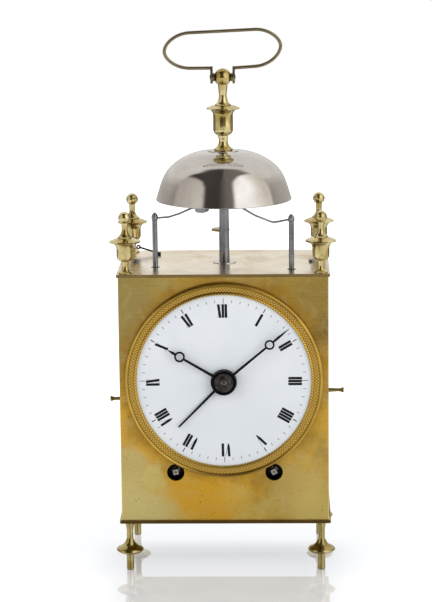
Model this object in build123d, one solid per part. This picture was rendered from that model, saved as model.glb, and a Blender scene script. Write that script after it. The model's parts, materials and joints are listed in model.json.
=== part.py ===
from build123d import *
import math
import os

# Travelling lantern clock: a brass box on turned feet, with urn finials, a bell and a
# carrying handle on top, an enamel dial in front and a two-train movement inside.
# Millimetres. +Z is up, the dial faces -Y, z = 0 is the surface under the feet.

# ---------------------------------------------------------------- driving dimensions
# the dial and its ring set the width of the case, and the trains behind it
DIAL_R = 53.5
DIAL_EDGE = 1.2
DIAL_DOME = 1.0
DIAL_HOLE_R = 4.0
BEZEL_LIP = 0.9
BEZEL_BAND = 6.3
BEZEL_RISE = 3.0
BESIDE_BEZEL = 3.2
WINDING_HOLE_R = 5.3
WINDING_BELOW = 4.7
WINDING_SQUARE = 3.25

CASE_DEPTH = 84.0
SHEET = 1.5
BASE_THICK = 2.0
TOP_THICK = 1.9
BASE_LIP = 1.2
TOP_LIP = 0.9
FLARE_OUT = 0.8
FLARE_HEIGHT = 4.0
FRONT_ROUND = 0.7

FOOT_HEIGHT = 30.2
COLUMN_INSET = 4.5
TIE_ROD_R = 1.5
TIE_ROD_SCREW = 4.0

DOOR_THICK = 1.4
DOOR_GAP = 0.3
STILE_R = 1.3
STILE_SETBACK = 2.0
DOOR_PIN_R = 0.6
DOOR_PIN_IN_PLATE = 1.5
DOOR_PIN_IN_STILE = 4.0
RUNNING = 0.08
SHAKE = 0.3
KNOB_LENGTH = 10.8
KNOB_SHANK_R = 0.9
LEFT_KNOB_RISE = 59.8
RIGHT_KNOB_RISE = 64.8
REAR_KNOB_RISE = 74.8
KNOB_FROM_REAR = 14.0

STANDARD_HEIGHT = 68.6
STANDARD_FOOT_R = 3.2
STANDARD_TOP_R = 2.55
STANDARD_SCREW = 9.0
BELL_THICK = 1.3
BELL_DEEP = 29.5
BELL_MOUTH_R = 41.4
BELL_HOLE_R = 1.8
WASHER_THICK = 0.4
FOOT_WASHER_R = 7.35
CROWN_WASHER_R = 9.5
URN_BALL_R = 5.25
URN_BALL_RISE = 44.4
URN_BALL_FLAT = 4.9

WIRE_R = 1.0
HANDLE_LEFT = 35.1
HANDLE_RIGHT = 35.1
HANDLE_NECK = 5.5
HANDLE_TALL = 21.4
HANDLE_TILT = 1.7
HANDLE_STRAIGHT = 0.56
EAR_X = 6.7
EAR_THICK = 1.4
EAR_R = 3.9
PIVOT_R = 0.95

HAMMER_ARBOR_R = 1.6
HAMMER_SEAT_R = 1.2
HAMMER_COLLAR_R = 1.95
HAMMER_ARM_DROP = 3.3
HAMMER_RISE = 33.6
HAMMER_HOLE_R = 2.7
HAMMER_WIRE_R = 0.6
HAMMER_BEND_R = 7.0
HEAD_SIZE = (7.2, 5.0, 6.0)
HEAD_ROUND = 2.0
HEAD_GAP = 6.2
STRIKE_HEAD_BEARING = -112.2
ALARM_HEAD_BEARING = -81.0
COCK_THICK = 2.4
COCK_HALF_W = 3.2

BUTTON_RISE = 16.9
BUTTON_R = 5.65
BUTTON_THICK = 1.3
BUTTON_ROD_R = 0.9
BUTTON_TRAVEL = 4.5
LEVER_STUD_R = 1.2
LEVER_R = 0.55
LEVER_REACH = 12.9

# movement: two plates across the case, every wheel arbor runs front to back
BEHIND_FRONT = 8.0
PLATE_THICK = 2.0
PLATE_GAP = 34.0
PLATE_SIDE_GAP = 7.0
PLATE_FOOT_GAP = 4.3
TONGUE_HALF_W = 17.0
TONGUE_OVER_PALLETS = 9.8
UNDER_TOP_PLATE = 5.24
PILLAR_R = 2.6
PILLAR_IN = 3.4
STUD_R = 2.2
ARBOR_R = 1.5
PIVOT_HOLE_R = 1.2
ARBOR_PIVOT_R = PIVOT_HOLE_R - RUNNING
BARREL_PIVOT_R = 2.4
BETWEEN_BARRELS = 3.9
UNDER_GREAT_WHEEL = 2.2

# wheel teeth and pinion leaves of each mesh, and the modules that are chosen freely
GREAT_TEETH = (50, 10)
SECOND_TEETH = (70, 10)
CENTRE_TEETH = (78, 6)
THIRD_TEETH = (66, 6)
ESCAPE_TEETH = 36
PIN_WHEEL_TEETH = (48, 6)
LOCKING_TEETH = (42, 6)
CANNON_TEETH = (12, 36)
HOUR_TEETH = (40, 10)
CENTRE_MODULE = 0.50
THIRD_MODULE = 0.46
PIN_WHEEL_MODULE = 0.80
LOCKING_MODULE = 0.60
MOTION_MODULE = 0.55
ESCAPE_R = 11.0
ESCAPE_RISE = 32.0
PALLET_RISE = 16.0
BOB_R = 11.0
BOB_OVER_BASE = 3.5
BOB_HALF_T = 3.4

# depth behind the movement's front plate, and thickness
GREAT_PLANE = (22.0, 2.0)
SECOND_PLANE = (28.0, 1.2)
CENTRE_PLANE = (18.0, 1.0)
THIRD_PLANE = (12.0, 0.8)
ESCAPE_PLANE = (6.0, 0.8)
PIN_WHEEL_PLANE = (27.0, 1.0)
LOCKING_PLANE = (8.0, 0.9)
BARREL_DEPTH = 3.0
STRIKE_ARBOR_DEPTH = 14.9
ALARM_ARBOR_DEPTH = 14.0

HANDS_ANGLE = {"minute": 50.2, "hour": 300.6, "alarm": 224.4}
MINUTE_HAND_LENGTH = 51.1
HOUR_HAND_LENGTH = 38.9
ALARM_HAND_LENGTH = 39.2
# the ring of a hand stands this share of the way to its tip
MINUTE_RING_SHARE = 0.704
HOUR_RING_SHARE = 0.787
MINUTE_RING_R = 3.0
HOUR_RING_R = 3.25
HAND_EYE_R = 7.9
# heights of the hands over the front of the case
ALARM_HAND_H = 3.3
HOUR_HAND_H = 4.7
MINUTE_HAND_H = 6.2
HAND_THICK = 0.7
ARBOR_END_H = 9.4
CANNON_PIPE_R = 1.9
HOUR_PIPE_R = 2.7
ALARM_PIPE_R = 3.5
ALARM_DISC_R = 8.0
ALARM_DISC_HOLE_R = 11.0

WHEEL_ADDENDUM = 0.80
WHEEL_DEDENDUM = 1.30


def mesh_distance(teeth, module):
    """Distance between the arbors of a wheel and its pinion."""
    return sum(teeth) * module / 2


def meeting(start, start_reach, end, end_reach, side):
    """The arbor that lies at one reach from start and another from end."""
    dx, dz = end[0] - start[0], end[1] - start[1]
    apart = math.hypot(dx, dz)
    along = (start_reach**2 - end_reach**2 + apart**2) / (2 * apart)
    off = side * math.sqrt(start_reach**2 - along**2)
    return (
        start[0] + (dx * along + dz * off) / apart,
        start[1] + (dz * along - dx * off) / apart,
    )


def bearing(start, end):
    """Direction from one arbor to another, in degrees from +X towards +Z."""
    return math.degrees(math.atan2(end[1] - start[1], end[0] - start[0]))


def beyond(start, angle, reach):
    return (
        start[0] + reach * math.cos(math.radians(angle)),
        start[1] + reach * math.sin(math.radians(angle)),
    )


# ---------------------------------------------------------------- derived places
# each winding arbor lies just outside the bezel, and the wheel on the second arbor
# spans the way from there to the centre
BEZEL_IN_R = DIAL_R - BEZEL_LIP
BEZEL_OUT_R = DIAL_R + BEZEL_BAND
HALF_W = BEZEL_OUT_R + BESIDE_BEZEL
WINDING_REACH = BEZEL_OUT_R + WINDING_BELOW
TRAIN_REACH = WINDING_REACH / 2 + 0.15
GREAT_MODULE = 2 * TRAIN_REACH / sum(GREAT_TEETH)
SECOND_MODULE = 2 * TRAIN_REACH / sum(SECOND_TEETH)
GREAT_R = GREAT_MODULE * GREAT_TEETH[0] / 2
GREAT_TIP_R = GREAT_R + WHEEL_ADDENDUM * GREAT_MODULE
BARREL_R = GREAT_R - 5.0

BASE_TOP = FOOT_HEIGHT + BASE_THICK
WINDING_X = GREAT_TIP_R + BETWEEN_BARRELS / 2
WINDING_Z = BASE_TOP + UNDER_GREAT_WHEEL + GREAT_TIP_R
DIAL_Z = WINDING_Z + math.sqrt(WINDING_REACH**2 - WINDING_X**2)
ESCAPE_Z = DIAL_Z + ESCAPE_RISE
PALLET_Z = ESCAPE_Z + PALLET_RISE
PENDULUM_LENGTH = PALLET_Z - BASE_TOP - BOB_OVER_BASE - BOB_R
TONGUE_HIGH_Z = PALLET_Z + TONGUE_OVER_PALLETS
CASE_TOP = TONGUE_HIGH_Z + UNDER_TOP_PLATE
TOP_Z = CASE_TOP + TOP_THICK
BELL_CROWN_Z = TOP_Z + STANDARD_HEIGHT
URN_BALL_Z = BELL_CROWN_Z + WASHER_THICK + URN_BALL_RISE
HANDLE_LOW_Z = URN_BALL_Z + HANDLE_NECK
HAMMER_TOP_Z = TOP_Z + HAMMER_RISE
BUTTON_Z = TOP_Z + BUTTON_RISE

FRONT_Y = -CASE_DEPTH / 2
REAR_Y = CASE_DEPTH / 2
FRONT_BACK_Y = FRONT_Y + SHEET
COLUMN_X = HALF_W - COLUMN_INSET
COLUMN_Y = REAR_Y - COLUMN_INSET
SIDE_PIVOT = (HALF_W - STILE_R, FRONT_BACK_Y + STILE_SETBACK)
REAR_PIVOT = (HALF_W - STILE_SETBACK, REAR_Y - STILE_R)
SIDE_DOOR_END_Y = REAR_PIVOT[1] - STILE_R - 0.5
KNOB_Y = REAR_Y - KNOB_FROM_REAR
REAR_KNOB_X = -HALF_W + KNOB_FROM_REAR

PLATE_FRONT_Y = FRONT_Y + BEHIND_FRONT
PLATE_BACK_Y = PLATE_FRONT_Y + PLATE_THICK
REAR_PLATE_Y = PLATE_BACK_Y + PLATE_GAP
REAR_PLATE_BACK_Y = REAR_PLATE_Y + PLATE_THICK
PLATE_HALF_W = HALF_W - PLATE_SIDE_GAP
PLATE_LOW_Z = BASE_TOP + PLATE_FOOT_GAP
PLATE_HIGH_Z = ESCAPE_Z - 4.2
PILLAR_X = PLATE_HALF_W - PILLAR_IN
PILLAR_Z = (PLATE_LOW_Z + PILLAR_IN, PLATE_HIGH_Z - PILLAR_IN)
COCK_Y = REAR_PLATE_BACK_Y + 5.0
COCK_BACK_Y = COCK_Y + 2.0
PENDULUM_Y = COCK_BACK_Y + 3.5

CENTRE_AT = (0.0, DIAL_Z)
GOING_AT = (WINDING_X, WINDING_Z)
STRIKE_AT = (-WINDING_X, WINDING_Z)
SECOND_AT = meeting(GOING_AT, TRAIN_REACH, CENTRE_AT, TRAIN_REACH, 1)
ESCAPE_AT = (0.0, ESCAPE_Z)
THIRD_AT = meeting(
    CENTRE_AT,
    mesh_distance(CENTRE_TEETH, CENTRE_MODULE),
    ESCAPE_AT,
    mesh_distance(THIRD_TEETH, THIRD_MODULE),
    1,
)
PALLET_AT = (0.0, PALLET_Z)
PIN_AT = beyond(STRIKE_AT, 101.0, TRAIN_REACH)
LOCKING_AT = beyond(PIN_AT, 82.0, mesh_distance(PIN_WHEEL_TEETH, PIN_WHEEL_MODULE))
FLY_AT = beyond(LOCKING_AT, 49.0, mesh_distance(LOCKING_TEETH, LOCKING_MODULE))
MOTION_REACH = mesh_distance(CANNON_TEETH, MOTION_MODULE)
MOTION_AT = beyond(CENTRE_AT, 0.0, MOTION_REACH)
HOUR_MODULE = 2 * MOTION_REACH / sum(HOUR_TEETH)

STRIKE_XY = (PIN_AT[0] - 5.52, PLATE_BACK_Y + STRIKE_ARBOR_DEPTH)
STRIKE_FOOT_Z = PIN_AT[1] + 3.2
ALARM_XY = (HALF_W - 22.0, FRONT_BACK_Y + ALARM_ARBOR_DEPTH)
ALARM_WHEEL_Z = CASE_TOP - 16.5
ALARM_FOOT_Z = ALARM_WHEEL_Z - 14.0
BUTTON_XY = (-2.7, PENDULUM_Y + 1.5)
LEVER_XY = (-HALF_W + 21.5, REAR_Y - 16.0)


# ---------------------------------------------------------------- shared shapes
def outline(start, *steps):
    """A closed face. A pair is a straight step; four numbers are an arc through a point."""
    edges, here = [], start
    for step in steps:
        there = step[-2:]
        if len(step) == 2:
            edges.append(Line(here, there))
        else:
            edges.append(ThreePointArc(here, step[:2], there))
        here = there
    if math.dist(here, start) > 1e-6:
        edges.append(Line(here, start))
    return make_face(edges)


def turned(start, *steps):
    """A solid turned about Z from a profile of radius and height."""
    return revolve(Plane.XZ * outline(start, *steps), Axis.Z)


def rod(radius, low, high):
    return Pos(0, 0, low) * extrude(Circle(radius), high - low)


def tube(outer, inner, low, high):
    return Pos(0, 0, low) * extrude(Circle(outer) - Circle(inner), high - low)


def along_y(shape, x, z, y=0.0):
    """Stands a shape built on +Z at (x, z), with its +Z towards the front."""
    return Pos(x, y, z) * Rot(90, 0, 0) * shape


def block(x0, x1, y0, y1, z0, z1):
    size = (x1 - x0, y1 - y0, z1 - z0)
    middle = ((x0 + x1) / 2, (y0 + y1) / 2, (z0 + z1) / 2)
    return Pos(*middle) * Box(*size)


def at_corners(shape, z):
    """Copies of a shape over the four columns."""
    spots = [(x, y) for x in (-COLUMN_X, COLUMN_X) for y in (-COLUMN_Y, COLUMN_Y)]
    return [Pos(x, y, z) * shape for x, y in spots]


def wire(points, radius, bend):
    """A round wire along straight runs joined by tangent arcs."""
    path = FilletPolyline(*points, radius=bend)
    section = Plane(path @ 0, z_dir=path % 0) * Circle(radius)
    return sweep(section, path)


# ---------------------------------------------------------------- case
def front_plate():
    low, high = BASE_TOP, CASE_TOP
    wide = HALF_W + FLARE_OUT
    bend = low + FLARE_HEIGHT
    dip = 0.29 * FLARE_OUT
    profile = outline(
        (-wide, low),
        (wide, low),
        (HALF_W + dip, low + 0.35 * FLARE_HEIGHT, HALF_W, bend),
        (HALF_W, high),
        (-HALF_W, high),
        (-HALF_W, bend),
        (-HALF_W - dip, low + 0.35 * FLARE_HEIGHT, -wide, low),
    )
    plate = extrude(Plane.XZ.offset(-FRONT_BACK_Y) * profile, SHEET)
    edges = plate.edges().filter_by(Axis.Z).group_by(Axis.Y)[0]
    plate = fillet(edges, FRONT_ROUND)
    holes = [along_y(rod(ALARM_DISC_HOLE_R, -SHEET, 2 * SHEET), 0, DIAL_Z, FRONT_BACK_Y)]
    for x in (-WINDING_X, WINDING_X):
        holes.append(
            along_y(rod(WINDING_HOLE_R, -SHEET, 2 * SHEET), x, WINDING_Z, FRONT_BACK_Y)
        )
    return plate - holes


def case_plate(lip, thick, low, edge):
    """A plate over the whole plan of the case, with a rounded rim."""
    plate = block(
        -HALF_W - lip, HALF_W + lip, FRONT_Y - lip, REAR_Y + lip, low, low + thick
    )
    plate = fillet(plate.edges().filter_by(Axis.Z), edge)
    return plate - at_corners(rod(TIE_ROD_R, -thick, 2 * thick), low)


def door_pin_spots():
    x, y = SIDE_PIVOT
    return [(x, y), (-x, y), REAR_PIVOT]


def base_plate():
    plate = case_plate(BASE_LIP, BASE_THICK, FOOT_HEIGHT, 0.9)
    rim = plate.faces().sort_by(Axis.Z)[0].outer_wire().edges()
    plate = fillet(rim, 0.8)
    sockets = [
        Pos(x, y, BASE_TOP) * rod(DOOR_PIN_R, -DOOR_PIN_IN_PLATE, 1)
        for x, y in door_pin_spots()
    ]
    return plate - sockets


def top_plate():
    plate = case_plate(TOP_LIP, TOP_THICK, CASE_TOP, 0.7)
    sockets = [
        Pos(x, y, CASE_TOP) * rod(DOOR_PIN_R, -1, DOOR_PIN_IN_PLATE)
        for x, y in door_pin_spots()
    ]
    through = [
        (*STRIKE_XY, HAMMER_HOLE_R),
        (*ALARM_XY, HAMMER_HOLE_R),
        (*BUTTON_XY, BUTTON_ROD_R + RUNNING),
        (*LEVER_XY, LEVER_STUD_R + RUNNING),
        (0, 0, BELL_HOLE_R),
    ]
    holes = [Pos(x, y, CASE_TOP) * rod(r, -1, TOP_THICK + 1) for x, y, r in through]
    return plate - sockets - holes


def tie_rods():
    low, high = FOOT_HEIGHT - TIE_ROD_SCREW, TOP_Z + TIE_ROD_SCREW
    return at_corners(rod(TIE_ROD_R, low, high), 0)


def foot():
    """A peg, a shallow saucer and a waisted neck, bored for the tie rod."""
    body = turned(
        (0, 0),
        (1.9, 0),
        (2.3, 0.4),
        (2.3, 11.4),
        (6.2, 11.0, 8.4, 12.7),
        (8.0, 13.6, 6.6, 14.5),
        (3.2, 17.2, 2.1, 22.0),
        (2.35, 27.2, 3.15, FOOT_HEIGHT),
        (0, FOOT_HEIGHT),
    )
    return body - rod(TIE_ROD_R, FOOT_HEIGHT - TIE_ROD_SCREW, FOOT_HEIGHT + 1)


def corner_finial():
    """An urn with a thin flared lip, a waisted lid and a ball."""
    ball_z, ball_r, neck_r = 33.6, 3.7, 1.9
    ball_low = ball_z - math.sqrt(ball_r**2 - neck_r**2)
    body = turned(
        (0, 0),
        (4.2, 0),
        (4.2, 0.7),
        (2.4, 2.6, 2.1, 5.2),
        (2.35, 7.2),
        (4.4, 8.5, 5.15, 10.6),
        (5.15, 15.0),
        (6.0, 17.2, 9.2, 18.8),
        (9.5, 19.2),
        (9.0, 19.7),
        (5.2, 21.3),
        (4.2, 21.5),
        (4.2, 22.2),
        (2.2, 24.6, 1.8, 27.6),
        (neck_r, ball_low),
        (ball_r, ball_z, 0, ball_z + ball_r),
    )
    return body - rod(TIE_ROD_R, -1, TIE_ROD_SCREW)


def door_stile(height):
    """The round hinge edge of a door, bored at each end for its pin."""
    bore = DOOR_PIN_R + RUNNING
    stile = rod(STILE_R, 0, height)
    ends = rod(bore, -1, DOOR_PIN_IN_STILE + RUNNING)
    ends += rod(bore, height - DOOR_PIN_IN_STILE - RUNNING, height + 1)
    return stile - ends


def side_door(side):
    """A sheet with a round hinge edge behind the front plate and a free rear edge."""
    low, high = BASE_TOP + DOOR_GAP, CASE_TOP - DOOR_GAP
    x, y = side * SIDE_PIVOT[0], SIDE_PIVOT[1]
    outer, inner = side * HALF_W, side * (HALF_W - DOOR_THICK)
    panel = block(min(outer, inner), max(outer, inner), y, SIDE_DOOR_END_Y, low, high)
    panel -= Pos(x, y, low) * rod(STILE_R - 0.2, -1, high - low + 1)
    knob_z = BASE_TOP + (RIGHT_KNOB_RISE if side > 0 else LEFT_KNOB_RISE)
    hole = Pos(x, KNOB_Y, knob_z) * Rot(0, 90, 0) * rod(KNOB_SHANK_R, -5, 5)
    return panel - hole + Pos(x, y, low) * door_stile(high - low)


def rear_door():
    low, high = BASE_TOP + DOOR_GAP, CASE_TOP - DOOR_GAP
    x, y = REAR_PIVOT
    panel = block(-HALF_W + DOOR_GAP, x, REAR_Y - DOOR_THICK, REAR_Y, low, high)
    panel -= Pos(x, y, low) * rod(STILE_R - 0.2, -1, high - low + 1)
    hole = along_y(rod(KNOB_SHANK_R, -5, 5), REAR_KNOB_X, BASE_TOP + REAR_KNOB_RISE, REAR_Y)
    return panel - hole + Pos(x, y, low) * door_stile(high - low)


def door_hinge_pins():
    """Short pins fixed in the plates, on which the three doors turn."""
    pins = []
    for x, y in door_pin_spots():
        stile_low, stile_high = BASE_TOP + DOOR_GAP, CASE_TOP - DOOR_GAP
        low = rod(DOOR_PIN_R, BASE_TOP - DOOR_PIN_IN_PLATE, stile_low + DOOR_PIN_IN_STILE)
        high = rod(DOOR_PIN_R, stile_high - DOOR_PIN_IN_STILE, CASE_TOP + DOOR_PIN_IN_PLATE)
        pins += [Pos(x, y) * low, Pos(x, y) * high]
    return pins


def door_knob():
    """A turned pull along +Z from the door's outer face, with its riveted shank."""
    return turned(
        (0, -DOOR_THICK - 0.5),
        (1.3, -DOOR_THICK - 0.5),
        (1.3, -DOOR_THICK),
        (KNOB_SHANK_R, -DOOR_THICK),
        (KNOB_SHANK_R, 0),
        (2.0, 0),
        (2.0, 0.7),
        (1.4, 1.2),
        (1.05, KNOB_LENGTH - 3.4),
        (1.2, KNOB_LENGTH - 2.0),
        (1.7, KNOB_LENGTH - 0.9),
        (1.7, KNOB_LENGTH - 0.4),
        (1.3, KNOB_LENGTH),
        (0, KNOB_LENGTH),
    )


# ---------------------------------------------------------------- dial and bezel
def bezel():
    """A raised ring: an outer bead, a band for engine turning and an inner bead."""
    ring = turned(
        (BEZEL_IN_R, DIAL_EDGE + 0.1),
        (BEZEL_IN_R, BEZEL_RISE - 0.9),
        (BEZEL_IN_R + 0.35, BEZEL_RISE - 0.2),
        (BEZEL_IN_R + 0.9, BEZEL_RISE),
        (BEZEL_IN_R + 1.5, BEZEL_RISE - 0.3),
        (BEZEL_IN_R + 1.9, BEZEL_RISE - 1.1),
        (BEZEL_OUT_R - 2.3, BEZEL_RISE - 1.1),
        (BEZEL_OUT_R - 1.8, BEZEL_RISE - 0.4),
        (BEZEL_OUT_R - 1.1, BEZEL_RISE),
        (BEZEL_OUT_R - 0.4, BEZEL_RISE - 0.3),
        (BEZEL_OUT_R, BEZEL_RISE - 1.2),
        (BEZEL_OUT_R, 0),
        (DIAL_R + 0.1, 0),
        (DIAL_R + 0.1, DIAL_EDGE + 0.1),
    )
    return along_y(ring, 0, DIAL_Z, FRONT_Y)


def dial():
    """A slightly domed enamelled copper disc."""
    disc = turned(
        (DIAL_HOLE_R, 0),
        (DIAL_R, 0),
        (DIAL_R, DIAL_EDGE),
        (DIAL_R / 2, DIAL_EDGE + 0.75 * DIAL_DOME, DIAL_HOLE_R, DIAL_EDGE + DIAL_DOME),
    )
    return along_y(disc, 0, DIAL_Z, FRONT_Y)


def hand_blank(boss_r, hole_r, length, root, tip, ring_at=0.0, ring_r=0.0):
    """A tapering hand along +Y, with a ring near its tip where ring_r is given."""
    shape = Circle(boss_r)
    if ring_r:
        neck = ring_at - ring_r * 0.8
        shape += make_face(
            Polyline((-root, 0), (-tip, neck), (tip, neck), (root, 0), close=True)
        )
        shape += Pos(0, ring_at) * Circle(ring_r)
        shape -= Pos(0, ring_at) * Circle(0.66 * ring_r)
        start = ring_at + ring_r * 0.8
        middle = (start + length) / 2 - 0.15 * (length - start)
        shape += make_face(
            Polyline(
                (-tip, start), (-1.3 * tip, middle), (-0.12, length),
                (0.12, length), (1.3 * tip, middle), (tip, start), close=True,
            )
        )
    else:
        shape += make_face(
            Polyline((-root, 0), (-tip, length), (tip, length), (root, 0), close=True)
        )
    return shape - Circle(hole_r)


def hand(name, height, blank, extra=None):
    """Turns a hand to its reading and stands it over the dial."""
    solid = Pos(0, 0, height) * extrude(blank, HAND_THICK)
    if extra is not None:
        solid += extra
    turned_hand = Rot(0, 0, -HANDS_ANGLE[name]) * solid
    return along_y(turned_hand, 0, DIAL_Z, FRONT_Y)


def minute_hand():
    ring_at = MINUTE_RING_SHARE * MINUTE_HAND_LENGTH
    blank = hand_blank(
        HAND_EYE_R - 0.3, CANNON_PIPE_R, MINUTE_HAND_LENGTH, 0.85, 0.6, ring_at, MINUTE_RING_R
    )
    top = MINUTE_HAND_H + HAND_THICK
    rim = tube(HAND_EYE_R - 0.3, HAND_EYE_R - 1.2, top, top + 0.8)
    return hand("minute", MINUTE_HAND_H, blank, rim)


def hour_hand():
    ring_at = HOUR_RING_SHARE * HOUR_HAND_LENGTH
    blank = hand_blank(
        HAND_EYE_R, HOUR_PIPE_R, HOUR_HAND_LENGTH, 0.95, 0.65, ring_at, HOUR_RING_R
    )
    return hand("hour", HOUR_HAND_H, blank)


def alarm_hand():
    """The alarm hand, its pipe through the dial and its release disc behind it."""
    blank = hand_blank(
        HAND_EYE_R - 0.5, HOUR_PIPE_R + RUNNING, ALARM_HAND_LENGTH, 0.85, 0.5
    )
    behind = -SHEET + 0.2
    pipe = tube(ALARM_PIPE_R, HOUR_PIPE_R + RUNNING, behind, ALARM_HAND_H)
    disc = tube(ALARM_DISC_R, HOUR_PIPE_R + RUNNING, behind, behind + 0.8)
    notch = Pos(0, ALARM_DISC_R, behind) * Box(2.0, 3.0, 4.0)
    return hand("alarm", ALARM_HAND_H, blank, pipe + (disc - notch))


def hand_boss():
    """The dished steel collet that the pin of the centre arbor holds on the hands."""
    base = MINUTE_HAND_H + HAND_THICK
    collet = turned(
        (CANNON_PIPE_R, base),
        (HAND_EYE_R - 1.5, base),
        (HAND_EYE_R - 2.2, base + 0.9),
        (HAND_EYE_R - 3.6, base + 1.0),
        (HAND_EYE_R - 4.6, base + 1.6),
        (CANNON_PIPE_R, base + 1.9),
    )
    return along_y(collet, 0, DIAL_Z, FRONT_Y)


# ---------------------------------------------------------------- bell, urn, handle
def bell_standard():
    shoulder = BELL_CROWN_Z - BELL_THICK
    return turned(
        (0, CASE_TOP - 2.2),
        (3.4, CASE_TOP - 2.2),
        (3.4, CASE_TOP),
        (BELL_HOLE_R, CASE_TOP),
        (BELL_HOLE_R, TOP_Z),
        (STANDARD_FOOT_R, TOP_Z),
        (STANDARD_FOOT_R, TOP_Z + WASHER_THICK + 0.8),
        (STANDARD_TOP_R, shoulder),
        (BELL_HOLE_R, shoulder),
        (BELL_HOLE_R, BELL_CROWN_Z + STANDARD_SCREW),
        (0, BELL_CROWN_Z + STANDARD_SCREW),
    )


def washers():
    foot_washer = tube(FOOT_WASHER_R, STANDARD_FOOT_R, TOP_Z, TOP_Z + WASHER_THICK)
    crown_washer = tube(
        CROWN_WASHER_R, BELL_HOLE_R, BELL_CROWN_Z, BELL_CROWN_Z + WASHER_THICK
    )
    return [foot_washer, crown_washer]


def bell():
    """A cast bell: a flat crown, a round shoulder and a slightly flared mouth."""
    top, rim, mouth = BELL_CROWN_Z, BELL_CROWN_Z - BELL_DEEP, BELL_MOUTH_R
    waist, shoulder, t = mouth - 2.8, mouth - 5.1, BELL_THICK
    return turned(
        (BELL_HOLE_R, top),
        (CROWN_WASHER_R + 0.2, top),
        (mouth - 14.3, top - 5.6, shoulder, top - 16.0),
        (waist, rim + 7.7, mouth, rim),
        (mouth - t, rim),
        (waist - t, rim + 7.9, shoulder - t, top - 16.4),
        (mouth - 15.2, top - 6.6, 9.0, top - t),
        (BELL_HOLE_R, top - t),
    )


def bell_urn():
    """The upper urn, screwed on the standard, whose ball carries the handle's pin."""
    base = BELL_CROWN_Z + WASHER_THICK
    neck_r = 2.95
    ball_low = URN_BALL_Z - math.sqrt(URN_BALL_R**2 - neck_r**2)
    body = turned(
        (0, base),
        (5.75, base),
        (5.75, base + 1.0),
        (3.2, base + 3.6, 2.85, base + 6.8),
        (3.3, base + 9.0),
        (5.4, base + 10.6, 6.1, base + 13.4),
        (6.1, base + 22.0),
        (7.2, base + 24.0, 10.2, base + 25.1),
        (10.5, base + 25.4),
        (10.0, base + 26.0),
        (6.6, base + 27.3),
        (4.9, base + 27.5),
        (4.9, base + 28.1),
        (4.3, base + 28.4),
        (2.7, base + 31.2, 2.45, base + 35.0),
        (neck_r, ball_low),
        (URN_BALL_R, URN_BALL_Z, 0, URN_BALL_Z + URN_BALL_R),
    )
    body -= rod(BELL_HOLE_R, base - 1, BELL_CROWN_Z + STANDARD_SCREW)
    flat = 3.0
    for side in (-1, 1):
        x = side * (URN_BALL_FLAT + flat / 2)
        body -= Pos(x, 0, URN_BALL_Z) * Box(flat, 6.0, 7.0)
    return body - Pos(0, 0, URN_BALL_Z) * Rot(0, 90, 0) * rod(PIVOT_R, -9, 9)


def handle_pin():
    reach = EAR_X + EAR_THICK / 2 + 0.1
    head = 0.3
    pin = rod(PIVOT_R, -reach, reach)
    pin += rod(1.4, reach, reach + head) + rod(1.4, -reach - head, -reach)
    return Pos(0, 0, URN_BALL_Z) * Rot(0, 90, 0) * pin


def handle_washers():
    inner, outer = URN_BALL_FLAT, EAR_X - EAR_THICK / 2 - 0.12
    ring = tube(2.5, PIVOT_R, inner, outer)
    turn = Pos(0, 0, URN_BALL_Z)
    return [turn * Rot(0, 90, 0) * ring, turn * Rot(0, -90, 0) * ring]


def loop_end(reach, low, high, low_slope, high_slope, middle_share):
    """The bent end of the loop: two quarters of an ellipse, smooth with the straights."""
    straight = HANDLE_STRAIGHT * reach
    middle = low + middle_share * (high - low)
    handle = 0.552 * (reach - straight)
    quarters = []
    for z, slope in ((low, low_slope), (high, high_slope)):
        quarters.append(
            Bezier(
                (straight, 0, z),
                (straight + handle, 0, z + slope * handle),
                (reach, 0, middle + 0.448 * (z - middle)),
                (reach, 0, middle),
            )
        )
    return quarters


def carrying_handle():
    """A bent wire loop whose ends are flattened into eyes on the pin."""
    low, high = HANDLE_LOW_Z, HANDLE_LOW_Z + HANDLE_TALL
    lift = 0.5 * HANDLE_TILT
    low_slope = lift / (HANDLE_STRAIGHT * HANDLE_RIGHT - EAR_X)
    high_slope = HANDLE_TILT / (HANDLE_STRAIGHT * (HANDLE_LEFT + HANDLE_RIGHT))
    left = loop_end(-HANDLE_LEFT, low, high, 0, high_slope, 0.47)
    right = loop_end(
        HANDLE_RIGHT, low + lift, high + HANDLE_TILT, low_slope, high_slope, 0.56
    )
    path = Wire(
        [
            Line((-EAR_X, 0, low), left[0] @ 0),
            *left,
            Line(left[1] @ 0, right[1] @ 0),
            *right,
            Line(right[0] @ 0, (EAR_X, 0, low)),
        ]
    )
    loop = sweep(Plane((-EAR_X, 0, low), z_dir=(-1, 0, 0)) * Circle(WIRE_R), path)
    ear = Pos(0, URN_BALL_Z) * Circle(EAR_R)
    rise = low + WIRE_R - URN_BALL_Z
    ear += make_face(
        Polyline(
            (-3.0, URN_BALL_Z + 2.5), (-1.2, URN_BALL_Z + rise),
            (1.2, URN_BALL_Z + rise), (3.0, URN_BALL_Z + 2.5), close=True,
        )
    )
    ear -= Pos(0, URN_BALL_Z) * Circle(PIVOT_R + RUNNING)
    plate = extrude(Plane.YZ * ear, EAR_THICK / 2, both=True)
    return loop + Pos(-EAR_X, 0, 0) * plate + Pos(EAR_X, 0, 0) * plate


# ---------------------------------------------------------------- hammers and controls
def hammer_arbor(foot_z):
    """A vertical arbor with a pointed top and a thin lower pivot."""
    top = HAMMER_TOP_Z
    return turned(
        (0, foot_z - 3.0),
        (ARBOR_PIVOT_R, foot_z - 3.0),
        (ARBOR_PIVOT_R, foot_z),
        (HAMMER_ARBOR_R, foot_z),
        (HAMMER_ARBOR_R, top - HAMMER_ARM_DROP - 1.4),
        (HAMMER_SEAT_R, top - HAMMER_ARM_DROP - 1.4),
        (HAMMER_SEAT_R, top - 0.9),
        (0.7, top - 0.2),
        (0, top),
    )


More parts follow.
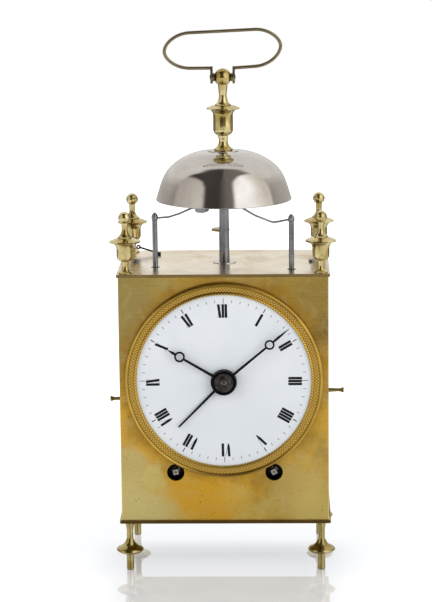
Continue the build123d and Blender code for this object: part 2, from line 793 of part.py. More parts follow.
def strike_arbor():
    """The strike hammer's arbor, with the tail that the pin wheel lifts."""
    x, y = STRIKE_XY
    shaft = Pos(x, y) * hammer_arbor(STRIKE_FOOT_Z)
    tail_z = PIN_AT[1] + PIN_CIRCLE_R + LIFT_PIN_R + 0.4
    tail_end = PIN_WHEEL_Y[0] - LIFT_PIN_LENGTH / 2
    tail = block(x, x + 1.6, y, tail_end, tail_z, tail_z + 2.2)
    tail += block(x, PIN_AT[0] - 1.5, tail_end - 1.6, tail_end, tail_z, tail_z + 2.2)
    return shaft + tail


def alarm_arbor():
    """The alarm verge: a hammer arbor with two flags beside the alarm wheel."""
    x, y = ALARM_XY
    shaft = Pos(x, y) * hammer_arbor(ALARM_FOOT_Z)
    top = ALARM_WHEEL_Z + ALARM_WHEEL_R + 0.5
    low = ALARM_WHEEL_Z - ALARM_WHEEL_R - 0.5
    shaft += block(x, x + 4.0, y - 0.5, y + 0.5, top, top + 2.4)
    return shaft + block(x, x + 4.0, y - 0.5, y + 0.5, low - 2.0, low)


def hammer(xy, head_bearing, head_r, bends, head_z):
    """The sprung wire arm and steel head of a bell hammer; bends are (share, rise)."""
    head_x, head_y = beyond((0, 0), head_bearing, head_r)
    reach = math.hypot(head_x - xy[0], head_y - xy[1])
    angle = math.degrees(math.atan2(head_y - xy[1], head_x - xy[0]))
    arm_z = HAMMER_TOP_Z - HAMMER_ARM_DROP
    half_l, half_t, high = HEAD_SIZE[0] / 2, HEAD_SIZE[1] / 2, HEAD_SIZE[2]
    points = [(HAMMER_SEAT_R + 0.1, 0, arm_z)]
    points += [(share * reach, 0, arm_z + rise) for share, rise in bends]
    points.append((reach - half_l + 0.8, 0, head_z))
    arm = wire(points, HAMMER_WIRE_R, HAMMER_BEND_R) - rod(HAMMER_SEAT_R, arm_z - 2, arm_z + 2)
    head = block(reach - half_l, reach + half_l, -half_t, half_t,
                 head_z - high / 2, head_z + high / 2)
    head = fillet(head.edges().filter_by(Axis.Y), HEAD_ROUND)
    collar = turned(
        (HAMMER_SEAT_R, arm_z - 1.4),
        (HAMMER_ARBOR_R, arm_z - 1.4),
        (HAMMER_COLLAR_R, arm_z - 0.9),
        (HAMMER_COLLAR_R, arm_z + 1.0),
        (HAMMER_SEAT_R + 0.2, arm_z + 2.3),
        (HAMMER_SEAT_R, arm_z + 2.3),
    )
    return Pos(*xy) * Rot(0, 0, angle) * (arm + head + collar)


def strike_hammer():
    head_z = HAMMER_TOP_Z + 4.9
    head_r = BELL_MOUTH_R - HEAD_GAP - 2.35
    bends = ((0.30, 1.1), (0.52, 3.5), (0.76, 7.0))
    return hammer(STRIKE_XY, STRIKE_HEAD_BEARING, head_r, bends, head_z)


def alarm_hammer():
    head_z = HAMMER_TOP_Z + 8.0
    head_r = BELL_MOUTH_R - HEAD_GAP - 2.95
    bends = ((0.30, -1.6), (0.60, 3.0), (0.80, 7.4))
    return hammer(ALARM_XY, ALARM_HEAD_BEARING, head_r, bends, head_z)


def cock(xy, wall_y, top, hole_r):
    """An angle bracket behind a plate, with a bearing for a vertical arbor."""
    x, y = xy
    low = top - COCK_THICK
    left, right = x - COCK_HALF_W, x + COCK_HALF_W
    shelf = block(left, right, wall_y, y + 4.0, low, top)
    flange = block(left, right, wall_y, wall_y + 1.6, low - 6.0, top)
    return (shelf + flange) - Pos(x, y, low) * rod(hole_r, -1, COCK_THICK + 1)


def hammer_cocks():
    """A lower and an upper bearing for each hammer arbor."""
    upper_r = HAMMER_ARBOR_R + RUNNING
    return [
        cock(STRIKE_XY, PLATE_BACK_Y, STRIKE_FOOT_Z - 0.3, PIVOT_HOLE_R),
        cock(STRIKE_XY, PLATE_BACK_Y, PLATE_HIGH_Z - 1.0, upper_r),
        cock(ALARM_XY, FRONT_BACK_Y, ALARM_FOOT_Z - 0.3, PIVOT_HOLE_R),
        cock(ALARM_XY, FRONT_BACK_Y, CASE_TOP - 1.4, upper_r),
    ]


def repeat_button():
    """A brass push disc on a thin rod that slides in the top plate."""
    low = CASE_TOP - BUTTON_TRAVEL
    stem = turned(
        (0, low),
        (BUTTON_ROD_R, low),
        (BUTTON_ROD_R, CASE_TOP - 2.2),
        (2.2, CASE_TOP - 2.2),
        (2.2, CASE_TOP - 0.3),
        (BUTTON_ROD_R, CASE_TOP - 0.3),
        (BUTTON_ROD_R, BUTTON_Z),
        (BUTTON_R - 0.3, BUTTON_Z),
        (BUTTON_R, BUTTON_Z + 0.3),
        (BUTTON_R, BUTTON_Z + BUTTON_THICK - 0.4),
        (BUTTON_R - 0.4, BUTTON_Z + BUTTON_THICK),
        (0, BUTTON_Z + BUTTON_THICK),
    )
    return Pos(*BUTTON_XY) * stem


def repeat_lever():
    """A thin blackened lever on a stud in the top plate, with an eye at its end."""
    x, y = LEVER_XY
    stud = turned(
        (0, CASE_TOP - 1.5),
        (2.0, CASE_TOP - 1.5),
        (2.0, CASE_TOP - 0.3),
        (LEVER_STUD_R, CASE_TOP - 0.3),
        (LEVER_STUD_R, TOP_Z + 1.8),
        (0, TOP_Z + 1.8),
    )
    tip = Vector(x - LEVER_REACH, y + 3.4, TOP_Z + 4.5)
    run = Vector(x, y, TOP_Z + 1.1) - tip
    arm = Plane(tip, z_dir=run) * extrude(Circle(LEVER_R), run.length)
    eye = Pos(tip) * Rot(90, 0, 0) * tube(1.35, 0.6, -LEVER_R, LEVER_R)
    return Pos(x, y) * stud + (arm - Pos(tip) * Sphere(0.65)) + eye


# ---------------------------------------------------------------- wheels
def toothed(teeth, module, addendum, dedendum, tip_share, root_share, phase):
    """A face with straight-flanked teeth, one of them centred at the phase in degrees."""
    step = 2 * math.pi / teeth
    pitch_r = module * teeth / 2
    tip_r, root_r = pitch_r + addendum * module, pitch_r - dedendum * module
    corners = []
    for k in range(teeth):
        middle = math.radians(phase) + k * step
        marks = [(root_r, -root_share), (tip_r, -tip_share), (tip_r, tip_share)]
        if root_share < 0.499:
            marks.append((root_r, root_share))
        for radius, share in marks:
            angle = middle + share * step
            corners.append((radius * math.cos(angle), radius * math.sin(angle)))
    return make_face(Polyline(*corners, close=True))


def wheel_face(teeth, module, phase):
    return toothed(teeth, module, WHEEL_ADDENDUM, WHEEL_DEDENDUM, 0.10, 0.5, phase)


def pinion_face(leaves, module, phase):
    return toothed(leaves, module, 0.65, 1.20, 0.09, 0.17, phase)


def crossings(rim_r, hub_r, count):
    """The windows between the arms of a wheel."""
    windows = []
    arm = 2.2
    for k in range(count):
        angle = 360 * k / count
        half = 180 / count
        inner = math.degrees(math.asin(arm / 2 / hub_r))
        outer = math.degrees(math.asin(arm / 2 / rim_r))

        def spot(radius, turn):
            return (
                radius * math.cos(math.radians(turn)),
                radius * math.sin(math.radians(turn)),
            )

        windows.append(
            outline(
                spot(hub_r, angle - half + inner),
                spot(rim_r, angle - half + outer),
                (*spot(rim_r, angle), *spot(rim_r, angle + half - outer)),
                spot(hub_r, angle + half - inner),
                (*spot(hub_r, angle), *spot(hub_r, angle - half + inner)),
            )
        )
    return windows


def wheel_blank(teeth, module, phase, thick, low, arms=4, rim=1.6):
    """A crossed-out wheel on the Z axis, its lower face at the given height."""
    face = wheel_face(teeth, module, phase)
    rim_r = module * teeth / 2 - WHEEL_DEDENDUM * module - rim
    if arms:
        face -= crossings(rim_r, 3.6, arms)
    return Pos(0, 0, low) * extrude(face, thick)


def pinion_blank(leaves, module, phase, low, high):
    return Pos(0, 0, low) * extrude(pinion_face(leaves, module, phase), high - low)


def arbor(front_y, back_y, front_pivot=ARBOR_PIVOT_R, radius=ARBOR_R):
    """An arbor between the plates, in front heights measured from y = 0."""
    inset = 0.25
    return turned(
        (0, -back_y),
        (ARBOR_PIVOT_R, -back_y),
        (ARBOR_PIVOT_R, -REAR_PLATE_Y + inset),
        (radius, -REAR_PLATE_Y + inset),
        (radius, -PLATE_BACK_Y - inset),
        (front_pivot, -PLATE_BACK_Y - inset),
        (front_pivot, -front_y),
        (0, -front_y),
    )


def geared(at, *solids):
    """Joins what turns on one arbor and stands it in the movement."""
    whole = solids[0]
    for solid in solids[1:]:
        whole += solid
    return along_y(whole, *at)


def facing(start, end):
    """Phase of a wheel whose tooth points from its arbor at its pinion."""
    return bearing(start, end)


def gap_facing(start, end, leaves):
    """Phase of a pinion whose gap points at the wheel that drives it."""
    return bearing(start, end) + 180 / leaves


PALLET_CLEARANCE = 0.9
CRUTCH_LENGTH = 26.0
PENDULUM_ROD_R = 0.8
PLAIN_ENDS = (PLATE_FRONT_Y + 0.3, REAR_PLATE_BACK_Y - 0.3)
LIFT_PIN_R = 0.7
LIFT_PIN_LENGTH = 2.6
LIFT_PINS = 8


def plane_y(plane):
    """Front and back of a wheel from its depth behind the front plate."""
    depth, thick = plane
    return (PLATE_BACK_Y + depth, PLATE_BACK_Y + depth + thick)


GREAT_WHEEL_Y = plane_y(GREAT_PLANE)
SECOND_WHEEL_Y = plane_y(SECOND_PLANE)
CENTRE_WHEEL_Y = plane_y(CENTRE_PLANE)
THIRD_WHEEL_Y = plane_y(THIRD_PLANE)
ESCAPE_WHEEL_Y = plane_y(ESCAPE_PLANE)
PIN_WHEEL_Y = plane_y(PIN_WHEEL_PLANE)
LOCKING_WHEEL_Y = plane_y(LOCKING_PLANE)
PIN_CIRCLE_R = PIN_WHEEL_MODULE * PIN_WHEEL_TEETH[0] / 2 - 3.6
PINION_OVER = 1.4
BARREL_FRONT_Y = PLATE_BACK_Y + BARREL_DEPTH
BARREL_WALL = 1.2
BARREL_CORE_R = 3.2
SPRING_TURNS = 6
SPRING_THICK = 0.8
RATCHET_TEETH = 18
RATCHET_R = 6.6
RATCHET_THICK = 1.6
ALARM_WHEEL_R = 9.0
ALARM_WHEEL_TEETH = 15


def pinion_on(pair_wheel_y, leaves, module, phase):
    front, back = pair_wheel_y
    return pinion_blank(leaves, module, phase, -back - PINION_OVER, -front + PINION_OVER)


def wheel_on(wheel_y, teeth, module, phase, arms=4, rim=1.6):
    front, back = wheel_y
    return wheel_blank(teeth, module, phase, back - front, -back, arms, rim)


def second_wheel():
    leaves = pinion_on(
        GREAT_WHEEL_Y, GREAT_TEETH[1], GREAT_MODULE, gap_facing(SECOND_AT, GOING_AT, GREAT_TEETH[1])
    )
    wheel = wheel_on(SECOND_WHEEL_Y, SECOND_TEETH[0], SECOND_MODULE, facing(SECOND_AT, CENTRE_AT), 5)
    return geared(SECOND_AT, arbor(*PLAIN_ENDS), leaves, wheel)


def centre_wheel():
    """The arbor that turns once an hour, squared in front for the hands."""
    leaves = pinion_on(
        SECOND_WHEEL_Y, SECOND_TEETH[1], SECOND_MODULE, gap_facing(CENTRE_AT, SECOND_AT, SECOND_TEETH[1])
    )
    wheel = wheel_on(CENTRE_WHEEL_Y, CENTRE_TEETH[0], CENTRE_MODULE, facing(CENTRE_AT, THIRD_AT), 5)
    end = -FRONT_Y + ARBOR_END_H
    shaft = arbor(-end + 2.0, PLAIN_ENDS[1])
    square = Pos(0, 0, end - 2.0) * extrude(Rectangle(1.5, 1.5), 2.0)
    return geared(CENTRE_AT, shaft, square, leaves, wheel)


def third_wheel():
    leaves = pinion_on(
        CENTRE_WHEEL_Y, CENTRE_TEETH[1], CENTRE_MODULE, gap_facing(THIRD_AT, CENTRE_AT, CENTRE_TEETH[1])
    )
    wheel = wheel_on(THIRD_WHEEL_Y, THIRD_TEETH[0], THIRD_MODULE, facing(THIRD_AT, ESCAPE_AT))
    return geared(THIRD_AT, arbor(*PLAIN_ENDS, radius=0.95), leaves, wheel)


def escape_face():
    """Leaning pointed teeth cut deep, as an anchor needs."""
    step = 2 * math.pi / ESCAPE_TEETH
    root_r = ESCAPE_R - 1.7
    corners = []
    for k in range(ESCAPE_TEETH):
        for radius, share in ((root_r, 0.0), (ESCAPE_R, 0.30), (ESCAPE_R, 0.38)):
            angle = (k + share) * step
            corners.append((radius * math.cos(angle), radius * math.sin(angle)))
    return make_face(Polyline(*corners, close=True))


def escape_wheel():
    front, back = ESCAPE_WHEEL_Y
    leaves = pinion_on(
        THIRD_WHEEL_Y, THIRD_TEETH[1], THIRD_MODULE, gap_facing(ESCAPE_AT, THIRD_AT, THIRD_TEETH[1])
    )
    face = escape_face() - crossings(ESCAPE_R - 3.0, 2.8, 4)
    wheel = Pos(0, 0, -back) * extrude(face, back - front)
    return geared(ESCAPE_AT, arbor(*PLAIN_ENDS, radius=0.9), leaves, wheel)


def barrel(at, pinion_at):
    """The drum and its great wheel in one, with a separate snapped-in cover."""
    front, back = GREAT_WHEEL_Y
    bore = BARREL_PIVOT_R + RUNNING
    drum = tube(BARREL_R, BARREL_R - BARREL_WALL, -front, -BARREL_FRONT_Y)
    great = wheel_face(GREAT_TEETH[0], GREAT_MODULE, facing(at, pinion_at)) - Circle(bore)
    great = Pos(0, 0, -back) * extrude(great, back - front)
    cover = tube(
        BARREL_R - BARREL_WALL, bore, -BARREL_FRONT_Y - BARREL_WALL, -BARREL_FRONT_Y
    )
    return [along_y(drum + great, *at), along_y(cover, *at)]


def mainspring(at):
    """A flat steel ribbon coiled from the barrel wall towards the arbor."""
    outer, inner = BARREL_R - BARREL_WALL, BARREL_CORE_R + 3.0
    half = SPRING_THICK / 2
    pitch = (outer - inner - SPRING_THICK) / SPRING_TURNS
    steps = 16
    outside, inside = [], []
    for k in range(SPRING_TURNS * steps + 1):
        turn = k / steps
        radius = outer - half - 0.15 - pitch * turn
        angle = 2 * math.pi * turn
        outside.append(((radius + half) * math.cos(angle), (radius + half) * math.sin(angle)))
        inside.append(((radius - half) * math.cos(angle), (radius - half) * math.sin(angle)))
    ribbon = make_face(Polyline(*outside, *reversed(inside), close=True))
    low, high = -GREAT_WHEEL_Y[0] + 0.3, -BARREL_FRONT_Y - BARREL_WALL - 0.3
    return along_y(Pos(0, 0, low) * extrude(ribbon, high - low), *at)


def ratchet_face(side):
    """Saw teeth that hold in one direction."""
    step = 2 * math.pi / RATCHET_TEETH
    corners = []
    for k in range(RATCHET_TEETH):
        for radius, share in ((RATCHET_R - 1.1, 0.02), (RATCHET_R, 0.92)):
            angle = side * (k + share) * step
            corners.append((radius * math.cos(angle), radius * math.sin(angle)))
    return make_face(Polyline(*corners, close=True))


def winding_arbor(at, side):
    """The barrel arbor with its winding square, and the ratchet wheel riveted on it."""
    inset = 0.25
    ratchet_low = -PLATE_FRONT_Y + 0.3
    shaft = turned(
        (0, -REAR_PLATE_BACK_Y + 0.3),
        (BARREL_PIVOT_R, -REAR_PLATE_BACK_Y + 0.3),
        (BARREL_PIVOT_R, -GREAT_WHEEL_Y[0] + inset),
        (BARREL_CORE_R, -GREAT_WHEEL_Y[0] + inset),
        (BARREL_CORE_R, -BARREL_FRONT_Y - BARREL_WALL - inset),
        (BARREL_PIVOT_R, -BARREL_FRONT_Y - BARREL_WALL - inset),
        (BARREL_PIVOT_R, ratchet_low + RATCHET_THICK),
        (0, ratchet_low + RATCHET_THICK),
    )
    square_low = ratchet_low + RATCHET_THICK
    square_high = -FRONT_Y - 0.6
    square = Pos(0, 0, square_low) * extrude(
        Rectangle(WINDING_SQUARE, WINDING_SQUARE), square_high - square_low
    )
    square -= rod(0.55, square_high - 2.0, square_high + 1)
    face = ratchet_face(side) - Circle(BARREL_PIVOT_R)
    ratchet = Pos(0, 0, ratchet_low) * extrude(face, RATCHET_THICK)
    turn = Rot(0, 0, WINDING_TURN[side])
    return [along_y(shaft + turn * square, *at), along_y(ratchet, *at)]


WINDING_TURN = {1: 28.0, -1: 12.0}
CLICK_PIVOT = (13.5, 4.0)
CLICK_R = 2.6
CLICK_STUD_R = 1.0


def click(at, side):
    """The pawl that drops behind a ratchet tooth, on its own stud."""
    low = -PLATE_FRONT_Y + 0.3
    px, py = side * CLICK_PIVOT[0], CLICK_PIVOT[1]
    nose = (side * (RATCHET_R + 0.45), 0.6)
    lever = make_face(
        Polyline(
            (px, py - 2.2), (nose[0], nose[1]), (nose[0] + side * 0.5, nose[1] + 1.6),
            (px - side * 1.0, py + 2.4), close=True,
        )
    )
    lever += Pos(px, py) * Circle(CLICK_R)
    lever -= Pos(px, py) * Circle(CLICK_STUD_R + RUNNING)
    return along_y(Pos(0, 0, low) * extrude(lever, RATCHET_THICK - 0.2), *at)


def click_studs():
    """Shouldered screws on which the clicks turn."""
    studs = []
    low, high = -PLATE_FRONT_Y, -PLATE_FRONT_Y + 0.3 + RATCHET_THICK
    for at, side in ((GOING_AT, 1), (STRIKE_AT, -1)):
        x, z = at[0] + side * CLICK_PIVOT[0], at[1] + CLICK_PIVOT[1]
        stud = rod(CLICK_STUD_R, low, high) + rod(1.9, high, high + 0.7)
        studs.append(along_y(stud, x, z))
    return studs


def cannon_pinion():
    """The pipe on the centre arbor that carries the minute hand."""
    bore = ARBOR_PIVOT_R + 0.01
    low = -PLATE_FRONT_Y + 0.3
    high = -FRONT_Y + MINUTE_HAND_H + HAND_THICK + 0.6
    leaves = pinion_blank(
        CANNON_TEETH[0], MOTION_MODULE, gap_facing(CENTRE_AT, MOTION_AT, CANNON_TEETH[0]), low, low + 3.2
    )
    body = leaves + rod(CANNON_PIPE_R, low, high)
    return along_y(body - rod(bore, low - 1, high + 1), *CENTRE_AT)


MINUTE_WHEEL_LOW = -PLATE_FRONT_Y + 1.2
HOUR_WHEEL_LOW = -PLATE_FRONT_Y + 4.2
MOTION_THICK = 1.0


def minute_wheel():
    wheel = wheel_blank(
        CANNON_TEETH[1], MOTION_MODULE, facing(MOTION_AT, CENTRE_AT), MOTION_THICK,
        MINUTE_WHEEL_LOW, 0,
    )
    leaves = pinion_blank(
        HOUR_TEETH[1], HOUR_MODULE, gap_facing(MOTION_AT, CENTRE_AT, HOUR_TEETH[1]),
        MINUTE_WHEEL_LOW, HOUR_WHEEL_LOW + MOTION_THICK + 0.3,
    )
    bore = rod(MOTION_STUD_R + RUNNING, MINUTE_WHEEL_LOW - 1, HOUR_WHEEL_LOW + 4)
    return along_y((wheel + leaves) - bore, *MOTION_AT)


MOTION_STUD_R = 1.0


def motion_stud():
    low, high = -PLATE_FRONT_Y, HOUR_WHEEL_LOW + MOTION_THICK + 0.4
    stud = rod(MOTION_STUD_R, low, high) + rod(1.8, low, MINUTE_WHEEL_LOW - 0.2)
    return along_y(stud, *MOTION_AT)


def hour_wheel():
    """The hour wheel and its pipe through the dial, which carries the hour hand."""
    wheel = wheel_blank(
        HOUR_TEETH[0], HOUR_MODULE, facing(CENTRE_AT, MOTION_AT), MOTION_THICK, HOUR_WHEEL_LOW, 0
    )
    high = -FRONT_Y + HOUR_HAND_H + HAND_THICK + 0.3
    pipe = rod(HOUR_PIPE_R, HOUR_WHEEL_LOW, high)
    bore = rod(CANNON_PIPE_R + RUNNING, HOUR_WHEEL_LOW - 1, high + 1)
    return along_y((wheel + pipe) - bore, *CENTRE_AT)


# ---------------------------------------------------------------- strike train
def pin_wheel():
    """The strike's second wheel, with the pins that lift the hammer tail."""
    leaves = pinion_on(
        GREAT_WHEEL_Y, GREAT_TEETH[1], GREAT_MODULE, gap_facing(PIN_AT, STRIKE_AT, GREAT_TEETH[1])
    )
    wheel = wheel_on(
        PIN_WHEEL_Y, PIN_WHEEL_TEETH[0], PIN_WHEEL_MODULE, facing(PIN_AT, LOCKING_AT), 4, 4.4
    )
    low = -PIN_WHEEL_Y[0]
    for k in range(LIFT_PINS):
        x, z = beyond((0, 0), 360 * (k + 0.5) / LIFT_PINS, PIN_CIRCLE_R)
        wheel += Pos(x, z, 0) * rod(LIFT_PIN_R, low - 0.5, low + LIFT_PIN_LENGTH)
    return geared(PIN_AT, arbor(*PLAIN_ENDS), leaves, wheel)


def locking_wheel():
    leaves = pinion_on(
        PIN_WHEEL_Y, PIN_WHEEL_TEETH[1], PIN_WHEEL_MODULE,
        gap_facing(LOCKING_AT, PIN_AT, PIN_WHEEL_TEETH[1]),
    )
    wheel = wheel_on(
        LOCKING_WHEEL_Y, LOCKING_TEETH[0], LOCKING_MODULE, facing(LOCKING_AT, FLY_AT)
    )
    return geared(LOCKING_AT, arbor(*PLAIN_ENDS, radius=1.3), leaves, wheel)


def fly():
    """The fan that slows the strike: a pinion arbor with a flat vane."""
    leaves = pinion_on(
        LOCKING_WHEEL_Y, LOCKING_TEETH[1], LOCKING_MODULE,
        gap_facing(FLY_AT, LOCKING_AT, LOCKING_TEETH[1]),
    )
    low = -REAR_PLATE_Y + 3.5
    vane = Pos(0, 0, low + 4.5) * Box(16.0, 0.8, 9.0)
    hub = rod(2.0, low, low + 9.0)
    return geared(FLY_AT, arbor(*PLAIN_ENDS, radius=1.1), leaves, hub, vane)


# ---------------------------------------------------------------- escapement, alarm
def pallets():
    """The anchor over the escape wheel, its arbor and the crutch behind."""
    front, back = ESCAPE_WHEEL_Y
    low, high = -back - 0.4, -front + 0.4
    drop = PALLET_AT[1] - ESCAPE_AT[1]
    arms = make_face(
        Polyline(
            (0, 2.6), (8.6, -4.0), (10.2, -8.4), (9.0, -8.2), (7.4, -5.6), (0, -1.6),
            (-7.4, -5.6), (-9.0, -8.2), (-10.2, -8.4), (-8.6, -4.0), close=True,
        )
    )
    reach = ESCAPE_R + PALLET_CLEARANCE
    arms -= Pos(0, -drop) * Circle(reach)
    anchor = Pos(0, 0, low) * extrude(arms, high - low)
    shaft = turned(
        (0, -COCK_BACK_Y + 0.3),
        (ARBOR_PIVOT_R, -COCK_BACK_Y + 0.3),
        (ARBOR_PIVOT_R, -COCK_Y + 0.2),
        (ARBOR_R, -COCK_Y + 0.2),
        (ARBOR_R, -PLATE_BACK_Y - 0.25),
        (ARBOR_PIVOT_R, -PLATE_BACK_Y - 0.25),
        (ARBOR_PIVOT_R, -PLATE_FRONT_Y - 0.3),
        (0, -PLATE_FRONT_Y - 0.3),
    )
    crutch_y = REAR_PLATE_BACK_Y + 1.5
    crutch = Pos(0, -CRUTCH_LENGTH / 2, -crutch_y - 0.5) * Box(1.6, CRUTCH_LENGTH, 1.0)
    crutch += rod(2.4, -crutch_y - 1.2, -crutch_y + 0.2)
    prong_l = PENDULUM_Y + 1.6 - crutch_y
    prong_x = PENDULUM_ROD_R + 0.25 + 0.45
    bar = Pos(0, -CRUTCH_LENGTH, -crutch_y - 0.5) * Box(2 * prong_x + 0.9, 1.6, 1.0)
    whole = anchor + shaft + crutch + bar
    for side in (-1, 1):
        whole += Pos(side * prong_x, -CRUTCH_LENGTH, -crutch_y - prong_l / 2) * Box(
            0.9, 1.6, prong_l
        )
    return along_y(whole, *PALLET_AT)


def pendulum_cock():
    """The rear cock: the pallet arbor's back pivot and the pendulum's suspension arm."""
    foot_y = REAR_PLATE_BACK_Y
    plate = block(-13, 13, COCK_Y, COCK_BACK_Y, PALLET_Z - 6, TONGUE_HIGH_Z)
    feet = block(-13, -8, foot_y, COCK_Y, PALLET_Z + 4, TONGUE_HIGH_Z)
    feet += block(8, 13, foot_y, COCK_Y, PALLET_Z + 4, TONGUE_HIGH_Z)
    arm = block(-1.3, 3.0, COCK_BACK_Y, PENDULUM_Y + 2.5, PALLET_Z + 3.5, PALLET_Z + 7)
    body = plate + feet + arm
    body -= along_y(rod(PIVOT_HOLE_R, -COCK_BACK_Y - 1, -COCK_Y + 1), *PALLET_AT)
    strip = block(-1.2, 1.6, PENDULUM_Y - 0.2, PENDULUM_Y + 0.2, PALLET_Z - 1.2, PALLET_Z + 4)
    eye = along_y(rod(0.6, -PENDULUM_Y - 1.7, -PENDULUM_Y + 1.7), *PALLET_AT)
    return body + strip + eye


def pendulum():
    """A steel rod that hooks on the suspension's pin, with a lens bob and rating nut."""
    y, x = PENDULUM_Y, 0.0
    low = PALLET_Z - PENDULUM_LENGTH
    hook = block(-2.0, 2.0, y - 1.4, y + 1.4, PALLET_Z - 4.6, PALLET_Z + 1.6)
    slot = block(-3.0, 3.0, y - 0.5, y + 0.5, PALLET_Z - 2.4, PALLET_Z + 2)
    hook -= slot
    hook -= along_y(rod(0.6 + RUNNING, -y - 3, -y + 3), *PALLET_AT)
    stem = Pos(x, y) * rod(PENDULUM_ROD_R, low - BOB_R - 2.3, PALLET_Z - 4.0)
    lens = turned(
        (0, -BOB_HALF_T),
        (0.36 * BOB_R, -BOB_HALF_T),
        (0.80 * BOB_R, -0.7 * BOB_HALF_T),
        (BOB_R, -0.5),
        (BOB_R, 0.5),
        (0.80 * BOB_R, 0.7 * BOB_HALF_T),
        (0.36 * BOB_R, BOB_HALF_T),
        (0, BOB_HALF_T),
    )
    bore = Pos(x, y) * rod(PENDULUM_ROD_R, low - BOB_R - 4, low + BOB_R + 1)
    bob = along_y(lens, x, low, y) - bore
    nut = Pos(x, y) * tube(2.4, PENDULUM_ROD_R, low - BOB_R - 1.8, low - BOB_R)
    return [hook + stem, bob, nut]


def alarm_wheel():
    """The alarm's crown wheel, its saw teeth facing the verge, in one with its drum."""
    steps = ALARM_WHEEL_TEETH
    inner, low, high = ALARM_WHEEL_R - 1.2, 2.0, ALARM_CROWN
    rim = tube(ALARM_WHEEL_R, inner, 0, high)
    for k in range(steps):
        cut = Pos(ALARM_WHEEL_R - 0.6, 0, high) * Rot(35, 0, 0) * Box(3.0, 1.9, 2 * low)
        rim -= Rot(0, 0, 360 * k / steps) * cut
    web = rod(ALARM_WHEEL_R, 0, 1.0)
    drum = rod(7.4, -ALARM_DRUM, 0)
    body = rim + web + drum
    body -= rod(ALARM_STUD_R + RUNNING, -ALARM_DRUM - 1, high)
    return Pos(ALARM_WHEEL_X, ALARM_XY[1], ALARM_WHEEL_Z) * Rot(0, -90, 0) * body


ALARM_STUD_R = 1.1
ALARM_DRUM = 7.0
ALARM_CROWN = 4.6
ALARM_WHEEL_X = ALARM_XY[0] + HAMMER_ARBOR_R + 0.5 + ALARM_CROWN


def alarm_bracket():
    """A bracket on the front plate with the stud of the alarm wheel."""
    x, y, z = ALARM_WHEEL_X + ALARM_DRUM + 0.3, ALARM_XY[1], ALARM_WHEEL_Z
    plate = block(x, x + 1.5, FRONT_BACK_Y, y + 3.5, z - 4, z + 4)
    foot = block(x - 5.0, x + 1.5, FRONT_BACK_Y, FRONT_BACK_Y + 1.2, z - 4, z + 4)
    stud = Pos(x, y, z) * Rot(0, -90, 0) * rod(ALARM_STUD_R, 0, ALARM_DRUM + 2.0)
    return plate + foot + stud


# ---------------------------------------------------------------- movement frame
def plate_outline():
    w, t = PLATE_HALF_W, TONGUE_HALF_W
    return make_face(
        Polyline(
            (-w, PLATE_LOW_Z), (w, PLATE_LOW_Z), (w, PLATE_HIGH_Z), (t, PLATE_HIGH_Z),
            (t, TONGUE_HIGH_Z), (-t, TONGUE_HIGH_Z), (-t, PLATE_HIGH_Z),
            (-w, PLATE_HIGH_Z), close=True,
        )
    )


def pivot_spots():
    return [SECOND_AT, CENTRE_AT, THIRD_AT, ESCAPE_AT, PIN_AT, LOCKING_AT, FLY_AT]


def movement_plate(front_y, pallet_hole_r):
    face = plate_outline()
    for x, z in pivot_spots():
        face -= Pos(x, z) * Circle(PIVOT_HOLE_R)
    for x, z in (GOING_AT, STRIKE_AT):
        face -= Pos(x, z) * Circle(BARREL_PIVOT_R + RUNNING)
    face -= Pos(*PALLET_AT) * Circle(pallet_hole_r)
    return extrude(Plane.XZ.offset(-front_y - PLATE_THICK) * face, PLATE_THICK)


def movement_pillars():
    """Four pillars between the plates and four studs to the front of the case."""
    pillars = []
    for x in (-PILLAR_X, PILLAR_X):
        for z in PILLAR_Z:
            body = turned(
                (0, -REAR_PLATE_Y), (PILLAR_R, -REAR_PLATE_Y), (PILLAR_R, -REAR_PLATE_Y + 3),
                (PILLAR_R - 0.7, -REAR_PLATE_Y + 6), (PILLAR_R - 0.7, -PLATE_BACK_Y - 6),
                (PILLAR_R, -PLATE_BACK_Y - 3), (PILLAR_R, -PLATE_BACK_Y), (0, -PLATE_BACK_Y),
            )
            stud = rod(STUD_R, -PLATE_FRONT_Y, -FRONT_BACK_Y)
            pillars += [along_y(body, x, z), along_y(stud, x, z)]
    return pillars


# ---------------------------------------------------------------- assembly
def pull(rise, side):
    return Pos(side * HALF_W, KNOB_Y, BASE_TOP + rise) * Rot(0, side * 90, 0) * door_knob()


def rear_pull():
    return Pos(REAR_KNOB_X, REAR_Y, BASE_TOP + REAR_KNOB_RISE) * Rot(-90, 0, 0) * door_knob()


